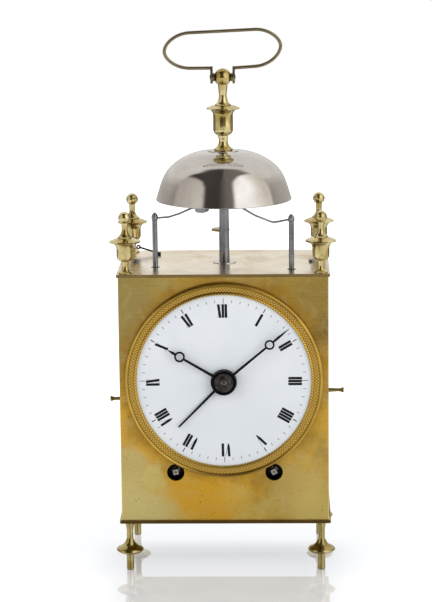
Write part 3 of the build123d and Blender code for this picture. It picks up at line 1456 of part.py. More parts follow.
NODES = {
    "front_plate": front_plate(),
    "base_plate": base_plate(),
    "top_plate": top_plate(),
    "tie_rods": tie_rods(),
    "feet": at_corners(foot(), 0),
    "corner_finials": at_corners(corner_finial(), TOP_Z),
    "left_door": side_door(-1),
    "right_door": side_door(1),
    "rear_door": rear_door(),
    "door_hinge_pins": door_hinge_pins(),
    "left_door_knob": pull(LEFT_KNOB_RISE, -1),
    "right_door_knob": pull(RIGHT_KNOB_RISE, 1),
    "rear_door_knob": rear_pull(),
    "bezel": bezel(),
    "dial": dial(),
    "minute_hand": minute_hand(),
    "hour_hand": hour_hand(),
    "alarm_hand": alarm_hand(),
    "hand_boss": hand_boss(),
    "bell_standard": bell_standard(),
    "bell_washers": washers(),
    "bell": bell(),
    "bell_urn": bell_urn(),
    "handle_pin": handle_pin(),
    "handle_washers": handle_washers(),
    "carrying_handle": carrying_handle(),
    "strike_arbor": strike_arbor(),
    "strike_hammer": strike_hammer(),
    "alarm_arbor": alarm_arbor(),
    "alarm_hammer": alarm_hammer(),
    "hammer_cocks": hammer_cocks(),
    "repeat_button": repeat_button(),
    "repeat_lever": repeat_lever(),
    "movement_front_plate": movement_plate(PLATE_FRONT_Y, PIVOT_HOLE_R),
    "movement_rear_plate": movement_plate(REAR_PLATE_Y, 4.0),
    "movement_pillars": movement_pillars(),
    "going_barrel": barrel(GOING_AT, SECOND_AT),
    "going_mainspring": mainspring(GOING_AT),
    "going_winding_arbor": winding_arbor(GOING_AT, 1),
    "going_click": click(GOING_AT, 1),
    "strike_barrel": barrel(STRIKE_AT, PIN_AT),
    "strike_mainspring": mainspring(STRIKE_AT),
    "strike_winding_arbor": winding_arbor(STRIKE_AT, -1),
    "strike_click": click(STRIKE_AT, -1),
    "click_studs": click_studs(),
    "second_wheel": second_wheel(),
    "centre_wheel": centre_wheel(),
    "third_wheel": third_wheel(),
    "escape_wheel": escape_wheel(),
    "pallets": pallets(),
    "pendulum_cock": pendulum_cock(),
    "pendulum": pendulum(),
    "cannon_pinion": cannon_pinion(),
    "minute_wheel": minute_wheel(),
    "motion_stud": motion_stud(),
    "hour_wheel": hour_wheel(),
    "pin_wheel": pin_wheel(),
    "locking_wheel": locking_wheel(),
    "fly": fly(),
    "alarm_wheel": alarm_wheel(),
}
# the alarm wheel's bracket shares the cocks' node, as they are the same kind of bracket
NODES["hammer_cocks"] = NODES["hammer_cocks"] + [alarm_bracket()]

os.makedirs("parts", exist_ok=True)
for name, shape in NODES.items():
    if isinstance(shape, list):
        shape = Compound(children=shape)
    export_step(shape, f"parts/{name}.step")
print(len(NODES), "nodes written")
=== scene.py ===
# %% [markdown]
# # A travelling lantern clock
# The clock is a brass box on turned feet. It has an enamel dial, a steel bell and a
# carrying handle on top. Its shapes come from CAD, where each wheel and plate is a solid
# of its own, so this file is about the finishes, the bell's flowing line, the painted
# dial, the light and the camera.
# Everything is in metres, in the frame of the CAD model: +Z is up and the dial faces -Y.

# %% Load the frame
import json
import math

import bpy
from mathutils import Matrix, Vector


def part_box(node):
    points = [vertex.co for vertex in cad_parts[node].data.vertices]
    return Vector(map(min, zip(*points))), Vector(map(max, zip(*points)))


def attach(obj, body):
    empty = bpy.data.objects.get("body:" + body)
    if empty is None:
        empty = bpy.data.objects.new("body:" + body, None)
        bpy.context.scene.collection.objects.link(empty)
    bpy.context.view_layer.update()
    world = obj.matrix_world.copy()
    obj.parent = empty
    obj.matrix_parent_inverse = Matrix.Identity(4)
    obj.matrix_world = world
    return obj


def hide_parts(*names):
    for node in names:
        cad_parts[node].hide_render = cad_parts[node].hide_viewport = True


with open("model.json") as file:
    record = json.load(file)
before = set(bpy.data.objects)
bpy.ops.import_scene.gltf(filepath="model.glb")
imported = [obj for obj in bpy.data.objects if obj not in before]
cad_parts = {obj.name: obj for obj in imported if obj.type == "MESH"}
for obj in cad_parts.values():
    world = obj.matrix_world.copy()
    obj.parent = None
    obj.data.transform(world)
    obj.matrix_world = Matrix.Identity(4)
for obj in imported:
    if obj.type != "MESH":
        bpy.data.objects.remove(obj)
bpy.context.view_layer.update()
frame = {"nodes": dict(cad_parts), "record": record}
MM = 0.001
nodes = frame["nodes"]
print("CAD nodes:", len(nodes))

# %% [markdown]
# ## Places that the finishes need
# Some patterns run round the dial. Its centre and the size of the ring round it could be
# typed in, but they are read from the boxes of the CAD nodes, so that they follow the
# model when it changes.

# %% Measure the model
dial_low, dial_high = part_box("dial")
DIAL_CENTRE = (dial_low + dial_high) / 2
FRONT_Y = dial_high.y
bezel_low, bezel_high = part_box("bezel")
BEZEL_RADIUS = (bezel_high.x - bezel_low.x) / 2
print("dial at", tuple(round(v, 4) for v in DIAL_CENTRE), "ring radius", round(BEZEL_RADIUS, 4))


# %% [markdown]
# ## Helpers for finishes
# Colours are written as they look on a screen, in hex, and Blender wants them linear.
# One function feeds a node's sockets and one adds a node with its settings and feeds, so
# that a material below reads as a list of steps. Node kinds are written without the
# ShaderNode that all their names start with. A pattern's scale is one over its real
# size, which is why sizes are given in millimetres. Ranges of four numbers say from and
# to, and what comes out at each end.

# %% Colour and node helpers
SOFT = {"interpolation_type": "SMOOTHSTEP"}
TINTED = {"data_type": "RGBA"}


def colour(hex_code):
    """Turns an sRGB hex colour to the linear one that Blender uses."""
    channels = [int(hex_code[i:i + 2], 16) / 255 for i in (1, 3, 5)]
    linear = [c / 12.92 if c <= 0.04045 else ((c + 0.055) / 1.055) ** 2.4 for c in channels]
    return (*linear, 1.0)


def feed(tree, node, feeds):
    """Gives sockets, by name or in order, their numbers, hex colours or other outputs."""
    for socket, value in feeds.items() if isinstance(feeds, dict) else enumerate(feeds):
        if isinstance(value, bpy.types.NodeSocket):
            tree.links.new(value, node.inputs[socket])
        else:
            value = colour(value) if isinstance(value, str) else value
            node.inputs[socket].default_value = value


def add(tree, kind, feeds=(), stops=(), **settings):
    """Adds a node and returns its outputs; stops are the places and colours of a ramp."""
    made = tree.nodes.new("ShaderNode" + kind)
    for name, value in settings.items():
        setattr(made, name, value)
    if stops:
        points = made.color_ramp.elements
        while len(points) < len(stops):
            points.new(0.5)
        for point, (at, hex_code) in zip(points, stops):
            point.position, point.color = at, colour(hex_code)
    feed(tree, made, feeds)
    return made.outputs


def start(name):
    """A new empty material: its node tree, its coordinates in metres and its shader."""
    material = bpy.data.materials.new(name)
    material.use_nodes = True
    tree = material.node_tree
    tree.nodes.clear()
    place = add(tree, "TexCoord")["Object"]
    shader = tree.nodes.new("ShaderNodeBsdfPrincipled")
    add(tree, "OutputMaterial", {"Surface": shader.outputs[0]})
    return material, tree, place, shader


def stretched(x, y, z):
    """The scale of a pattern whose features are x, y and z millimetres long."""
    return (1 / (x * MM), 1 / (y * MM), 1 / (z * MM))


def lay(tree, tone, value, span, share, hex_code):
    """Lays a colour over a tone; its share changes softly while a value crosses a span."""
    share = add(tree, "MapRange", (value, *span, *share), **SOFT)[0]
    return add(tree, "Mix", {0: share, 6: tone, 7: hex_code}, **TINTED)[2]


print("a mid brass is", [round(c, 3) for c in colour("#C79A35")[:3]])

# %% [markdown]
# ## Aged case brass
# The box is sheet brass that was polished by hand long ago. Polishing leaves fine level
# lines, and the years leave clouds: olive where the tarnish stayed, golden where it was
# rubbed, and pale where it was rubbed hard. An image could be wrapped round the box, but
# noise has no seams and keeps its real size on every plate: clouds are about 30 mm
# across, a haze in them 11 mm, pits and specks about 1 mm, and lines 0.5 mm apart.
# On the front, large patches are listed one by one. They are partly marks that the cloth left and
# partly painted reflection: the olive ones at the upper corners stand for the dark that those
# corners mirror, the golden and pale ones lower down for the bright. Each has a centre, a reach
# and a colour, and noise breaks up its edge. Round the dial a brown halo is laid, fading out 9 mm
# beyond the ring.

# %% Case brass
CLOUD, HAZE, GRAIN, SPECK = 30 * MM, 11 * MM, 0.7 * MM, 1.3 * MM
POLISH_LINES, MARK_DEEP = stretched(25, 25, 0.5), 0.05 * MM
CLOUD_STOPS = (0.30, 0.45, 0.58, 0.75)
WANDER, WANDER_BY = 17 * MM, 26 * MM
PATCH_CORE = 0.35
HALO, HALO_SHARE = (BEZEL_RADIUS - 2 * MM, BEZEL_RADIUS + 9 * MM), 0.75
# Patches of wear and of painted reflection on the front.
FRONT_PATCHES_AND_REFLECTIONS = (
    # across and up from the middle of the dial (mm), reach (mm), colour, strength
    (-62, 44, 40, "#AE985A", 0.90),
    (62, 46, 38, "#A68C48", 0.90),
    (0, 64, 24, "#CDA850", 0.75),
    (-60, -8, 20, "#B58E34", 0.80),
    (-12, -68, 46, "#EAB236", 0.95),
    (62, -1, 22, "#DFB44C", 0.75),
    (63, 29, 17, "#85672A", 0.75),
    (-64, -50, 25, "#D6BE7A", 0.95),
    (-56, -82, 34, "#E0CE86", 0.98),
    (-63, -25, 20, "#E8B63E", 0.95),
    (-48, -43, 12, "#E4B03E", 0.80),
    (-43, -58, 11, "#E4D080", 0.80),
    (-26, -90, 14, "#DCC470", 0.40),
    (6, -72, 13, "#E6C866", 0.35),
    (18, -86, 14, "#DCBC60", 0.70),
    (32, -76, 12, "#E0C268", 0.60),
    (46, -66, 24, "#D6B768", 0.85),
    (58, -84, 26, "#DAC26E", 0.85),
    (58, -24, 17, "#DDB044", 0.80),
    (46, -46, 12, "#E0B448", 0.65),
)


def front_marks_and_reflections(tree, place, tone):
    """The patches, partly painted reflection, and the halo of the front, with edges that wander.
    """
    wander = add(tree, "TexNoise", {"Vector": place, "Scale": 1 / WANDER, "Detail": 4.0})["Color"]
    wander = add(tree, "VectorMath", (wander, (0.5, 0.5, 0.5)), operation="SUBTRACT")[0]
    broken = add(tree, "VectorMath", (wander, (WANDER_BY,) * 3, place),
                 operation="MULTIPLY_ADD")[0]
    for across, rise, reach, hex_code, strength in FRONT_PATCHES_AND_REFLECTIONS:
        centre = (DIAL_CENTRE.x + across * MM, FRONT_Y, DIAL_CENTRE.z + rise * MM)
        away = add(tree, "VectorMath", (broken, centre), operation="DISTANCE")["Value"]
        tone = lay(tree, tone, away, (PATCH_CORE * reach * MM, reach * MM), (strength, 0.0),
                   hex_code)
    away = add(tree, "VectorMath", (broken, DIAL_CENTRE), operation="DISTANCE")["Value"]
    return lay(tree, tone, away, HALO, (HALO_SHARE, 0.0), "#B08328")


def case_brass(name, front=False, shades=("#A88F4A", "#BA9B47", "#C8A246", "#CFAA58"),
               rough=0.40, ridges=0.06):
    """Old polished sheet brass; the front has its halo and its patches."""
    material, tree, place, shader = start(name)
    clouds = add(tree, "TexNoise", {"Vector": place, "Scale": 1 / CLOUD, "Detail": 5.0,
                                    "Roughness": 0.62, "Distortion": 0.5})["Fac"]
    tone = add(tree, "ValToRGB", (clouds,), stops=tuple(zip(CLOUD_STOPS, shades)))[0]
    if front:
        tone = front_marks_and_reflections(tree, place, tone)
    haze = add(tree, "TexNoise", {"Vector": place, "Scale": 1 / HAZE, "Detail": 4.0,
                                  "Distortion": 0.8})["Fac"]
    grain = add(tree, "TexNoise", {"Vector": place, "Scale": 1 / GRAIN, "Detail": 3.0})["Fac"]
    specks = add(tree, "TexNoise", {"Vector": place, "Scale": 1 / SPECK, "Detail": 2.0})["Fac"]
    lines = add(tree, "Mapping", {"Vector": place, "Scale": POLISH_LINES})[0]
    lines = add(tree, "TexNoise", {"Vector": lines, "Scale": 1.0, "Detail": 3.0})["Fac"]
    for value, span, share, hex_code in (
            (haze, (0.50, 0.74), (0.0, 0.25), "#D6C88C"),
            (grain, (0.30, 0.50), (0.16, 0.0), "#7A6128"),
            (grain, (0.52, 0.70), (0.0, 0.20), "#EADFAA"),
            (specks, (0.66, 0.74), (0.0, 0.55), "#6E5420"),
            (lines, (0.50, 0.75), (0.0, 0.16), "#DCCF98")):
        tone = lay(tree, tone, value, span, share, hex_code)
    worn = add(tree, "MapRange", (clouds, 0.3, 0.7, rough + 0.06, rough - 0.06), **SOFT)[0]
    bump = add(tree, "Bump", {"Height": lines, "Strength": ridges, "Distance": MARK_DEEP})[0]
    feed(tree, shader, {"Base Color": tone, "Roughness": worn, "Normal": bump, "Metallic": 1.0})
    return material


FRONT_BRASS = case_brass("aged_front_plate_brass", front=True)
SHEET_BRASS = case_brass("aged_polished_sheet_brass")
print("case brass made, with", len(FRONT_PATCHES_AND_REFLECTIONS), "patches on the front")

# %% [markdown]
# The top plate is painted paler than the rest, a painted reflection of the white room that it
# mirrors at a low angle. Both plates stick out over the sheet, and their edges, which face
# sideways, get a painted brown shade. The edges could have a material slot of their own, but the
# normal tells an edge, which faces sideways, from a face, and leaves the mesh alone.

# %% Plates with brown edges
def reopen(material):
    """A finished material's tree, its shader and the tone that feeds it."""
    tree = material.node_tree
    shader = next(n for n in tree.nodes if n.type == "BSDF_PRINCIPLED")
    return tree, shader, shader.inputs["Base Color"].links[0].from_socket


def edge_shaded(name, shades, rough, ridges, edge):
    """Case brass in other shades, with a painted brown shade where it faces sideways."""
    material = case_brass(name, shades=shades, rough=rough, ridges=ridges)
    tree, shader, tone = reopen(material)
    level = add(tree, "SeparateXYZ", (add(tree, "NewGeometry")["True Normal"],))["Z"]
    level = add(tree, "Math", (level,), operation="ABSOLUTE")[0]
    # Painted shade: faces that point sideways are laid in the edge colour.
    tone = lay(tree, tone, level, (0.3, 0.8), (0.95, 0.0), edge)
    feed(tree, shader, {"Base Color": tone})
    return material


# The top plate's pale cream shades are a painted reflection of the white room.
TOP_BRASS_SHEEN_PAINTED = edge_shaded("sheen_painted_top_plate_brass",
                         ("#D3C2A2", "#EBDDC4", "#F3E8D4", "#F8F0E2"), 0.24, 0.01, "#7C6432")
BASE_BRASS = edge_shaded("tarnished_base_plate_brass",
                          ("#6E5A2A", "#8A713A", "#9C8244", "#A88F52"), 0.40, 0.06, "#5C4622")
print("plates made:", TOP_BRASS_SHEEN_PAINTED.name, BASE_BRASS.name)


# %% [markdown]
# ## Turned brass
# The feet, finials, urn and knobs were turned on a lathe. The feet, finials and urn were
# then polished by hand so often that their surface is bright and slightly wavy, which
# breaks up what they mirror. The knobs and the movement keep the fine marks of the tool.
# The handle is bent wire, dull with tarnish. The grooves are darkened, partly by dirt and partly
# by painted shade. The darkening could be painted in, but ambient occlusion finds every groove
# within 1.5 mm by itself.

# %% Turned brass
MOTTLE, GROOVE_REACH = 9 * MM, 1.5 * MM
GROOVE_GRIME_AND_SHADE = (0.35, 0.85, 0.8, 0.0)
MOTTLE_STOPS = (0.35, 0.65)
RINGS_UP = stretched(30, 30, 0.4)
RINGS_ACROSS = stretched(0.4, 30, 30)
RINGS_DEEP = stretched(30, 0.4, 30)
CLOUDS_ONLY = stretched(3, 3, 3)
WAVES = stretched(5, 5, 9)
WAVY = {"bump_by": 1.0, "deep": 0.5 * MM, "detail": 0.0}


def turned_brass(name, shades, grime_and_shade, roughness, relief, bump_by=0.06, deep=MARK_DEEP,
                 detail=2.0):
    """Brass in two shades, with dirt and painted shade in its grooves; relief is how its bumps
    stretch.
    """
    material, tree, place, shader = start(name)
    mottle = add(tree, "TexNoise", {"Vector": place, "Scale": 1 / MOTTLE, "Detail": 4.0})["Fac"]
    tone = add(tree, "ValToRGB", (mottle,), stops=tuple(zip(MOTTLE_STOPS, shades)))[0]
    # Painted shade and dirt: ambient occlusion darkens the grooves.
    openness = add(tree, "AmbientOcclusion", {"Distance": GROOVE_REACH}, samples=8)["AO"]
    groove_shade = add(tree, "MapRange", (openness, *GROOVE_GRIME_AND_SHADE))[0]
    tone = add(tree, "Mix", {0: groove_shade, 6: tone, 7: grime_and_shade}, **TINTED)[2]
    marks = add(tree, "Mapping", {"Vector": place, "Scale": relief})[0]
    marks = add(tree, "TexNoise", {"Vector": marks, "Scale": 1.0, "Detail": detail})["Fac"]
    bump = add(tree, "Bump", {"Height": marks, "Strength": bump_by, "Distance": deep})[0]
    feed(tree, shader, {"Base Color": tone, "Normal": bump, "Metallic": 1.0,
                        "Roughness": roughness})
    return material


POLISHED_BRASS = turned_brass("polished_turned_brass", ("#AE995A", "#DED09C"), "#3E3116",
                              0.12, WAVES, **WAVY)
# The feet's darker shades are a painted shade, for the dim floor under the clock that the feet
# mirror.
FOOT_BRASS_SHADE_PAINTED = turned_brass("shade_painted_foot_brass", ("#9C8A50", "#BFAF78"), "#33280F",
                          0.14, WAVES, **WAVY)
KNOB_BRASS = turned_brass("turned_knob_brass", ("#8C7B4C", "#A39062"), "#3B2E17",
                          0.24, RINGS_ACROSS)
HANDLE_BRASS = turned_brass("tarnished_handle_brass", ("#857A5C", "#968A6A"), "#7C7052",
                            0.34, CLOUDS_ONLY, bump_by=0.0)
MOVEMENT_BRASS = turned_brass("grained_movement_brass", ("#C6A557", "#D3B467"), "#5C4A24",
                              0.27, RINGS_DEEP, bump_by=0.15)
print("turned brass made")


# %% [markdown]
# A wheel is brass, but it is riveted to a steel arbor with a steel pinion. Both are in one
# CAD node and one slot, so the finish tells them apart by the distance from the wheel's
# own axis: grey within 2.8 mm, and brass from 3.0 mm.

# %% Wheels on steel arbors
ARBORED = ("second_wheel", "centre_wheel", "third_wheel", "escape_wheel", "pin_wheel",
           "locking_wheel", "fly", "alarm_wheel", "minute_wheel")
PINION_EDGE = (2.8 * MM, 3.0 * MM)


def wheel_brass(node):
    """Movement brass that turns to steel near the axis of one wheel."""
    material = MOVEMENT_BRASS.copy()
    material.name = "wheel_brass_of_" + node
    tree, shader, tone = reopen(material)
    low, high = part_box(node)
    axis = (low + high) / 2
    parts = add(tree, "SeparateXYZ", (add(tree, "TexCoord")["Object"],))
    spot = add(tree, "CombineXYZ", (parts["X"], parts["Z"]))[0]
    away = add(tree, "VectorMath", (spot, (axis.x, axis.z, 0)), operation="DISTANCE")["Value"]
    tone = lay(tree, tone, away, PINION_EDGE, (1.0, 0.0), "#5A5856")
    feed(tree, shader, {"Base Color": tone})
    return material


WHEEL_BRASS = {node: wheel_brass(node) for node in ARBORED}
print("wheel finishes:", len(WHEEL_BRASS))

# %% [markdown]
# ## The engine-turned ring
# The ring round the dial has a band of engine turning: cuts that lean one way cross cuts
# that lean the other, and leave rows of small diamonds that glitter. Cut into the mesh
# they would take many thousand faces, and a bump shows the same. The angle round the dial
# and the distance from its centre give both sets of cuts. A cut is where a sine crosses
# zero, so the height is the smaller of the two sines without their signs.

# %% Engine-turned brass
CUTS_ROUND = 190            # they are 1.9 mm apart
LEAN_OVER = 2.1 * MM        # on the way out, a cut leans over by one pitch in this
BAND_IN, BAND_OUT = BEZEL_RADIUS - 6.7 * MM, BEZEL_RADIUS - 2.4 * MM
RING_WEAR, CUT_DEEP = 14 * MM, 0.12 * MM
BAND_WARMTH = 0.6
CUT_SHADE = (0.05, 0.45, 0.70, 0.0)
RIDGE_HEIGHT, RIDGE_PAINTED_HIGHLIGHT = (0.45, 0.85), (0.0, 0.55)


def engine_turned(name):
    """Brass with a band of crossed cuts round the dial, painted shade in the cuts and a painted
    highlight on the ridges.
    """
    material, tree, place, shader = start(name)
    across = add(tree, "VectorMath", (place, DIAL_CENTRE), operation="SUBTRACT")[0]
    parts = add(tree, "SeparateXYZ", (across,))
    angle = add(tree, "Math", (parts["Z"], parts["X"]), operation="ARCTAN2")[0]
    flat = add(tree, "CombineXYZ", (parts["X"], parts["Z"]))[0]
    out = add(tree, "VectorMath", (flat,), operation="LENGTH")["Value"]
    cuts = []
    for lean in (1, -1):
        leaning = add(tree, "Math", (out, lean * math.pi / LEAN_OVER), operation="MULTIPLY")[0]
        turn = add(tree, "Math", (angle, CUTS_ROUND / 2, leaning), operation="MULTIPLY_ADD")[0]
        wave = add(tree, "Math", (turn,), operation="SINE")[0]
        cuts.append(add(tree, "Math", (wave,), operation="ABSOLUTE")[0])
    diamonds = add(tree, "Math", cuts, operation="MINIMUM")[0]
    inner = add(tree, "Math", (out, BAND_IN), operation="GREATER_THAN")[0]
    outer = add(tree, "Math", (out, BAND_OUT), operation="LESS_THAN")[0]
    band = add(tree, "Math", (inner, outer), operation="MULTIPLY")[0]
    height = add(tree, "Math", (diamonds, band), operation="MULTIPLY")[0]

    wear = add(tree, "TexNoise", {"Vector": place, "Scale": 1 / RING_WEAR, "Detail": 4.0})["Fac"]
    tone = add(tree, "ValToRGB", (wear,),
               stops=((0.35, "#AE9044"), (0.55, "#BC9C48"), (0.70, "#C9A750")))[0]
    warm = add(tree, "Math", (band, BAND_WARMTH), operation="MULTIPLY")[0]
    tone = add(tree, "Mix", {0: warm, 6: tone, 7: "#C2922E"}, **TINTED)[2]
    # Painted shade: the cuts are laid darker.
    cut = add(tree, "MapRange", (diamonds, *CUT_SHADE), **SOFT)[0]
    cut = add(tree, "Math", (cut, band), operation="MULTIPLY")[0]
    tone = add(tree, "Mix", {0: cut, 6: tone, 7: "#7A5D1C"}, **TINTED)[2]
    # Painted highlight: the ridge tops are laid a pale gold.
    tone = lay(tree, tone, height, RIDGE_HEIGHT, RIDGE_PAINTED_HIGHLIGHT, "#F0D484")
    bump = add(tree, "Bump", {"Height": height, "Strength": 0.30, "Distance": CUT_DEEP})[0]
    feed(tree, shader, {"Base Color": tone, "Normal": bump, "Metallic": 1.0, "Roughness": 0.30})
    return material


BEZEL_BRASS = engine_turned("engine_turned_brass")
print("engine turning made:", CUTS_ROUND, "cuts each way")


# %% [markdown]
# ## Steels
# Four steels show: the grey arbors and hammer wires, polished lengthways; the bell, which
# was polished as it spun, so its fine rings run round it; the black collet; and the hands,
# heated until an oxide makes them blue-black. Each could be one flat grey, but a steel
# mirrors the room, and it is a small change of tone and of gloss that shows it is metal.

# %% Steels
def steel(name, shades, roughness, relief, bump_by, mottle_mm=8):
    """Steel in two shades, glossier where it is lighter; relief is how its marks stretch."""
    material, tree, place, shader = start(name)
    mottle = add(tree, "TexNoise", {"Vector": place, "Scale": 1 / (mottle_mm * MM),
                                    "Detail": 5.0, "Roughness": 0.6})["Fac"]
    tone = add(tree, "ValToRGB", (mottle,), stops=tuple(zip(MOTTLE_STOPS, shades)))[0]
    marks = add(tree, "Mapping", {"Vector": place, "Scale": relief})[0]
    marks = add(tree, "TexNoise", {"Vector": marks, "Scale": 1.0, "Detail": 3.0})["Fac"]
    bump = add(tree, "Bump", {"Height": marks, "Strength": bump_by, "Distance": MARK_DEEP})[0]
    rough = add(tree, "MapRange", (mottle, 0.3, 0.7, roughness * 1.15, roughness * 0.85))[0]
    feed(tree, shader, {"Base Color": tone, "Roughness": rough, "Normal": bump,
                        "Metallic": 1.0})
    return material


LENGTHWAYS = stretched(0.3, 0.3, 12)
EVERY_WAY = stretched(0.8, 0.8, 0.8)
ARBOR_STEEL = steel("drawn_grey_steel", ("#77787B", "#94959A"), 0.30, LENGTHWAYS, 0.15)
BELL_STEEL = steel("spun_bell_steel", ("#C2BDB7", "#D0CCC7"), 0.10, RINGS_UP, 0.03, 12)
BLACK_STEEL = steel("blackened_steel", ("#332F2D", "#57514D"), 0.33, EVERY_WAY, 0.15, 3)
BLUED_STEEL = steel("blued_steel", ("#17191F", "#23262E"), 0.28, EVERY_WAY, 0.05)
print("steels made")

# %% [markdown]
# The winding squares are worn bright by the key, and the ratchets behind them are painted near
# black. A square and its ratchet are one node, so again the distance from the axis tells them
# apart. The two arbors mirror each other, so the distance is measured without the sign of X, and
# one finish does for both.

# %% Winding squares
SQUARE_EDGE, WINDING_GRAIN = (1.9 * MM, 2.4 * MM), 0.8 * MM


def winding_steel(name):
    """Bright winding squares on ratchets painted near black."""
    material, tree, place, shader = start(name)
    low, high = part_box("going_winding_arbor")
    middle = (low + high) / 2
    parts = add(tree, "SeparateXYZ", (place,))
    side = add(tree, "Math", (parts["X"],), operation="ABSOLUTE")[0]
    spot = add(tree, "CombineXYZ", (side, parts["Z"]))[0]
    away = add(tree, "VectorMath", (spot, (middle.x, middle.z, 0)),
               operation="DISTANCE")["Value"]
    # The ratchets are painted near black.
    tone = lay(tree, "#A5A29D", away, SQUARE_EDGE, (0.0, 1.0), "#1B1613")
    grain = add(tree, "TexNoise", {"Vector": place, "Scale": 1 / WINDING_GRAIN,
                                   "Detail": 3.0})["Fac"]
    bump = add(tree, "Bump", {"Height": grain, "Strength": 0.12, "Distance": MARK_DEEP})[0]
    feed(tree, shader, {"Base Color": tone, "Normal": bump, "Metallic": 1.0, "Roughness": 0.38})
    return material


WINDING_STEEL = winding_steel("winding_square_steel")
print("winding squares made:", WINDING_STEEL.name)


# %% [markdown]
# ## Enamel
# The dial is glass fused to copper: bluish white, glossy and slightly uneven, like the
# skin of a pond, so a faint ripple and a clear coat go over its white. The hour marks are
# painted on in black enamel, fired lower, and stay duller than the glass.

# %% Enamel
ENAMEL_DEPTH, RIPPLE = 25 * MM, 6 * MM


def enamel(name, shades, roughness, coat=0.3, shine=0.5):
    """Fired enamel in two close shades under a rippled gloss."""
    material, tree, place, shader = start(name)
    depth = add(tree, "TexNoise", {"Vector": place, "Scale": 1 / ENAMEL_DEPTH,
                                   "Detail": 2.0})["Fac"]
    tone = add(tree, "ValToRGB", (depth,), stops=((0.3, shades[0]), (0.7, shades[1])))[0]
    ripple = add(tree, "TexNoise", {"Vector": place, "Scale": 1 / RIPPLE})["Fac"]
    bump = add(tree, "Bump", {"Height": ripple, "Strength": 0.05, "Distance": 0.2 * MM})[0]
    feed(tree, shader, {"Base Color": tone, "Normal": bump, "Roughness": roughness,
                        "Coat Weight": coat, "Coat Roughness": 0.06,
                        "Specular IOR Level": shine})
    return material


WHITE_ENAMEL = enamel("white_dial_enamel", ("#DDE2E7", "#E4E8EC"), 0.20)
BLACK_ENAMEL = enamel("black_numeral_enamel", ("#121317", "#1A1B20"), 0.35, coat=0.0,
                      shine=0.15)
print("enamels made:", WHITE_ENAMEL.name, BLACK_ENAMEL.name)

# %% [markdown]
# ## Dress the CAD nodes
# A node could be modelled again here, but its shape is right already, so it keeps its
# mesh and gets a better material in its slots. The nodes that show are named one by one,
# and the rest follow the slot that the record gives them.

# %% Finishes of the CAD nodes
FINISHES = {
    FRONT_BRASS: ["front_plate"],
    TOP_BRASS_SHEEN_PAINTED: ["top_plate"],
    BASE_BRASS: ["base_plate"],
    SHEET_BRASS: ["left_door", "right_door", "rear_door"],
    BEZEL_BRASS: ["bezel"],
    POLISHED_BRASS: ["corner_finials", "bell_urn", "tie_rods"],
    FOOT_BRASS_SHADE_PAINTED: ["feet"],
    KNOB_BRASS: ["left_door_knob", "right_door_knob", "rear_door_knob", "repeat_button"],
    HANDLE_BRASS: ["carrying_handle", "handle_washers"],
    BELL_STEEL: ["bell", "bell_washers"],
    BLACK_STEEL: ["hand_boss"],
    BLUED_STEEL: ["minute_hand", "hour_hand", "alarm_hand", "repeat_lever"],
    WINDING_STEEL: ["going_winding_arbor", "strike_winding_arbor"],
    WHITE_ENAMEL: ["dial"],
}
BY_SLOT = {"case_brass": SHEET_BRASS, "polished_brass": POLISHED_BRASS,
           "movement_brass": MOVEMENT_BRASS, "steel": ARBOR_STEEL,
           "bell_steel": BELL_STEEL, "dark_steel": BLACK_STEEL,
           "blued_steel": BLUED_STEEL, "enamel": WHITE_ENAMEL}
SLOT_OF = {part["node"]: part["material_slot"] for part in frame["record"]["subparts"]
           if "material_slot" in part}
chosen = {name: material for material, names in FINISHES.items() for name in names}
chosen.update(WHEEL_BRASS)
for name, piece in nodes.items():
    material = chosen.get(name) or BY_SLOT.get(SLOT_OF.get(name), MOVEMENT_BRASS)
    for slot in piece.material_slots:
        slot.material = material
    if not piece.material_slots:
        piece.data.materials.append(material)
print("dressed", len(nodes), "nodes;", len(chosen), "by name, the rest by slot")

# %% [markdown]
# ## Helpers for modelling
# New pieces are made with operators, as by hand. An operator acts on all that is
# selected, and the CAD nodes are still selected after loading, so each step starts with
# nothing selected. A modifier could stay live, but an applied one leaves a plain mesh
# whose size can be measured.

# %% Modelling helpers
print("selected after loading:", len(bpy.context.selected_objects))


def deselect():
    bpy.ops.object.select_all(action="DESELECT")


def work_on(piece):
    """Makes one piece the selected and active one."""
    deselect()
    piece.select_set(True)
    bpy.context.view_layer.objects.active = piece


def finish_modifier(piece, name, kind, **settings):
    """Adds a modifier to the active piece and applies it."""
    modifier = piece.modifiers.new(name, kind)
    for setting, value in settings.items():
        setattr(modifier, setting, value)
    bpy.ops.object.modifier_apply(modifier=name)


def corners(piece):
    """A finished piece's lowest and highest corner, to a hundredth of a millimetre."""
    points = [v.co for v in piece.data.vertices]
    return [[round(pick(p[i] for p in points), 5) for i in range(3)] for pick in (min, max)]


# %% [markdown]
# ## Two small screws
# Two screws hold the movement's brackets from above, one near each side of the top plate.
# Each is a low head with a rounded edge and a slot. The slot could be extruded into the
# head's face, but a boolean cuts it straight across, as a saw does. One screw is modelled
# at the origin, and both are copies, each turned its own way.

# %% Screws on the top plate
SCREW_R, SCREW_HIGH, SCREW_EDGE = 1.9 * MM, 1.4 * MM, 0.3 * MM
SLOT_WIDE, SLOT_CUTTER = 0.55 * MM, 1.0 * MM
# Across and back on the plate, and the way that the slot points, in degrees.
SCREWS_AT = ((-54.7 * MM, 1.8 * MM, 25), (53.4 * MM, -0.6 * MM, 95))


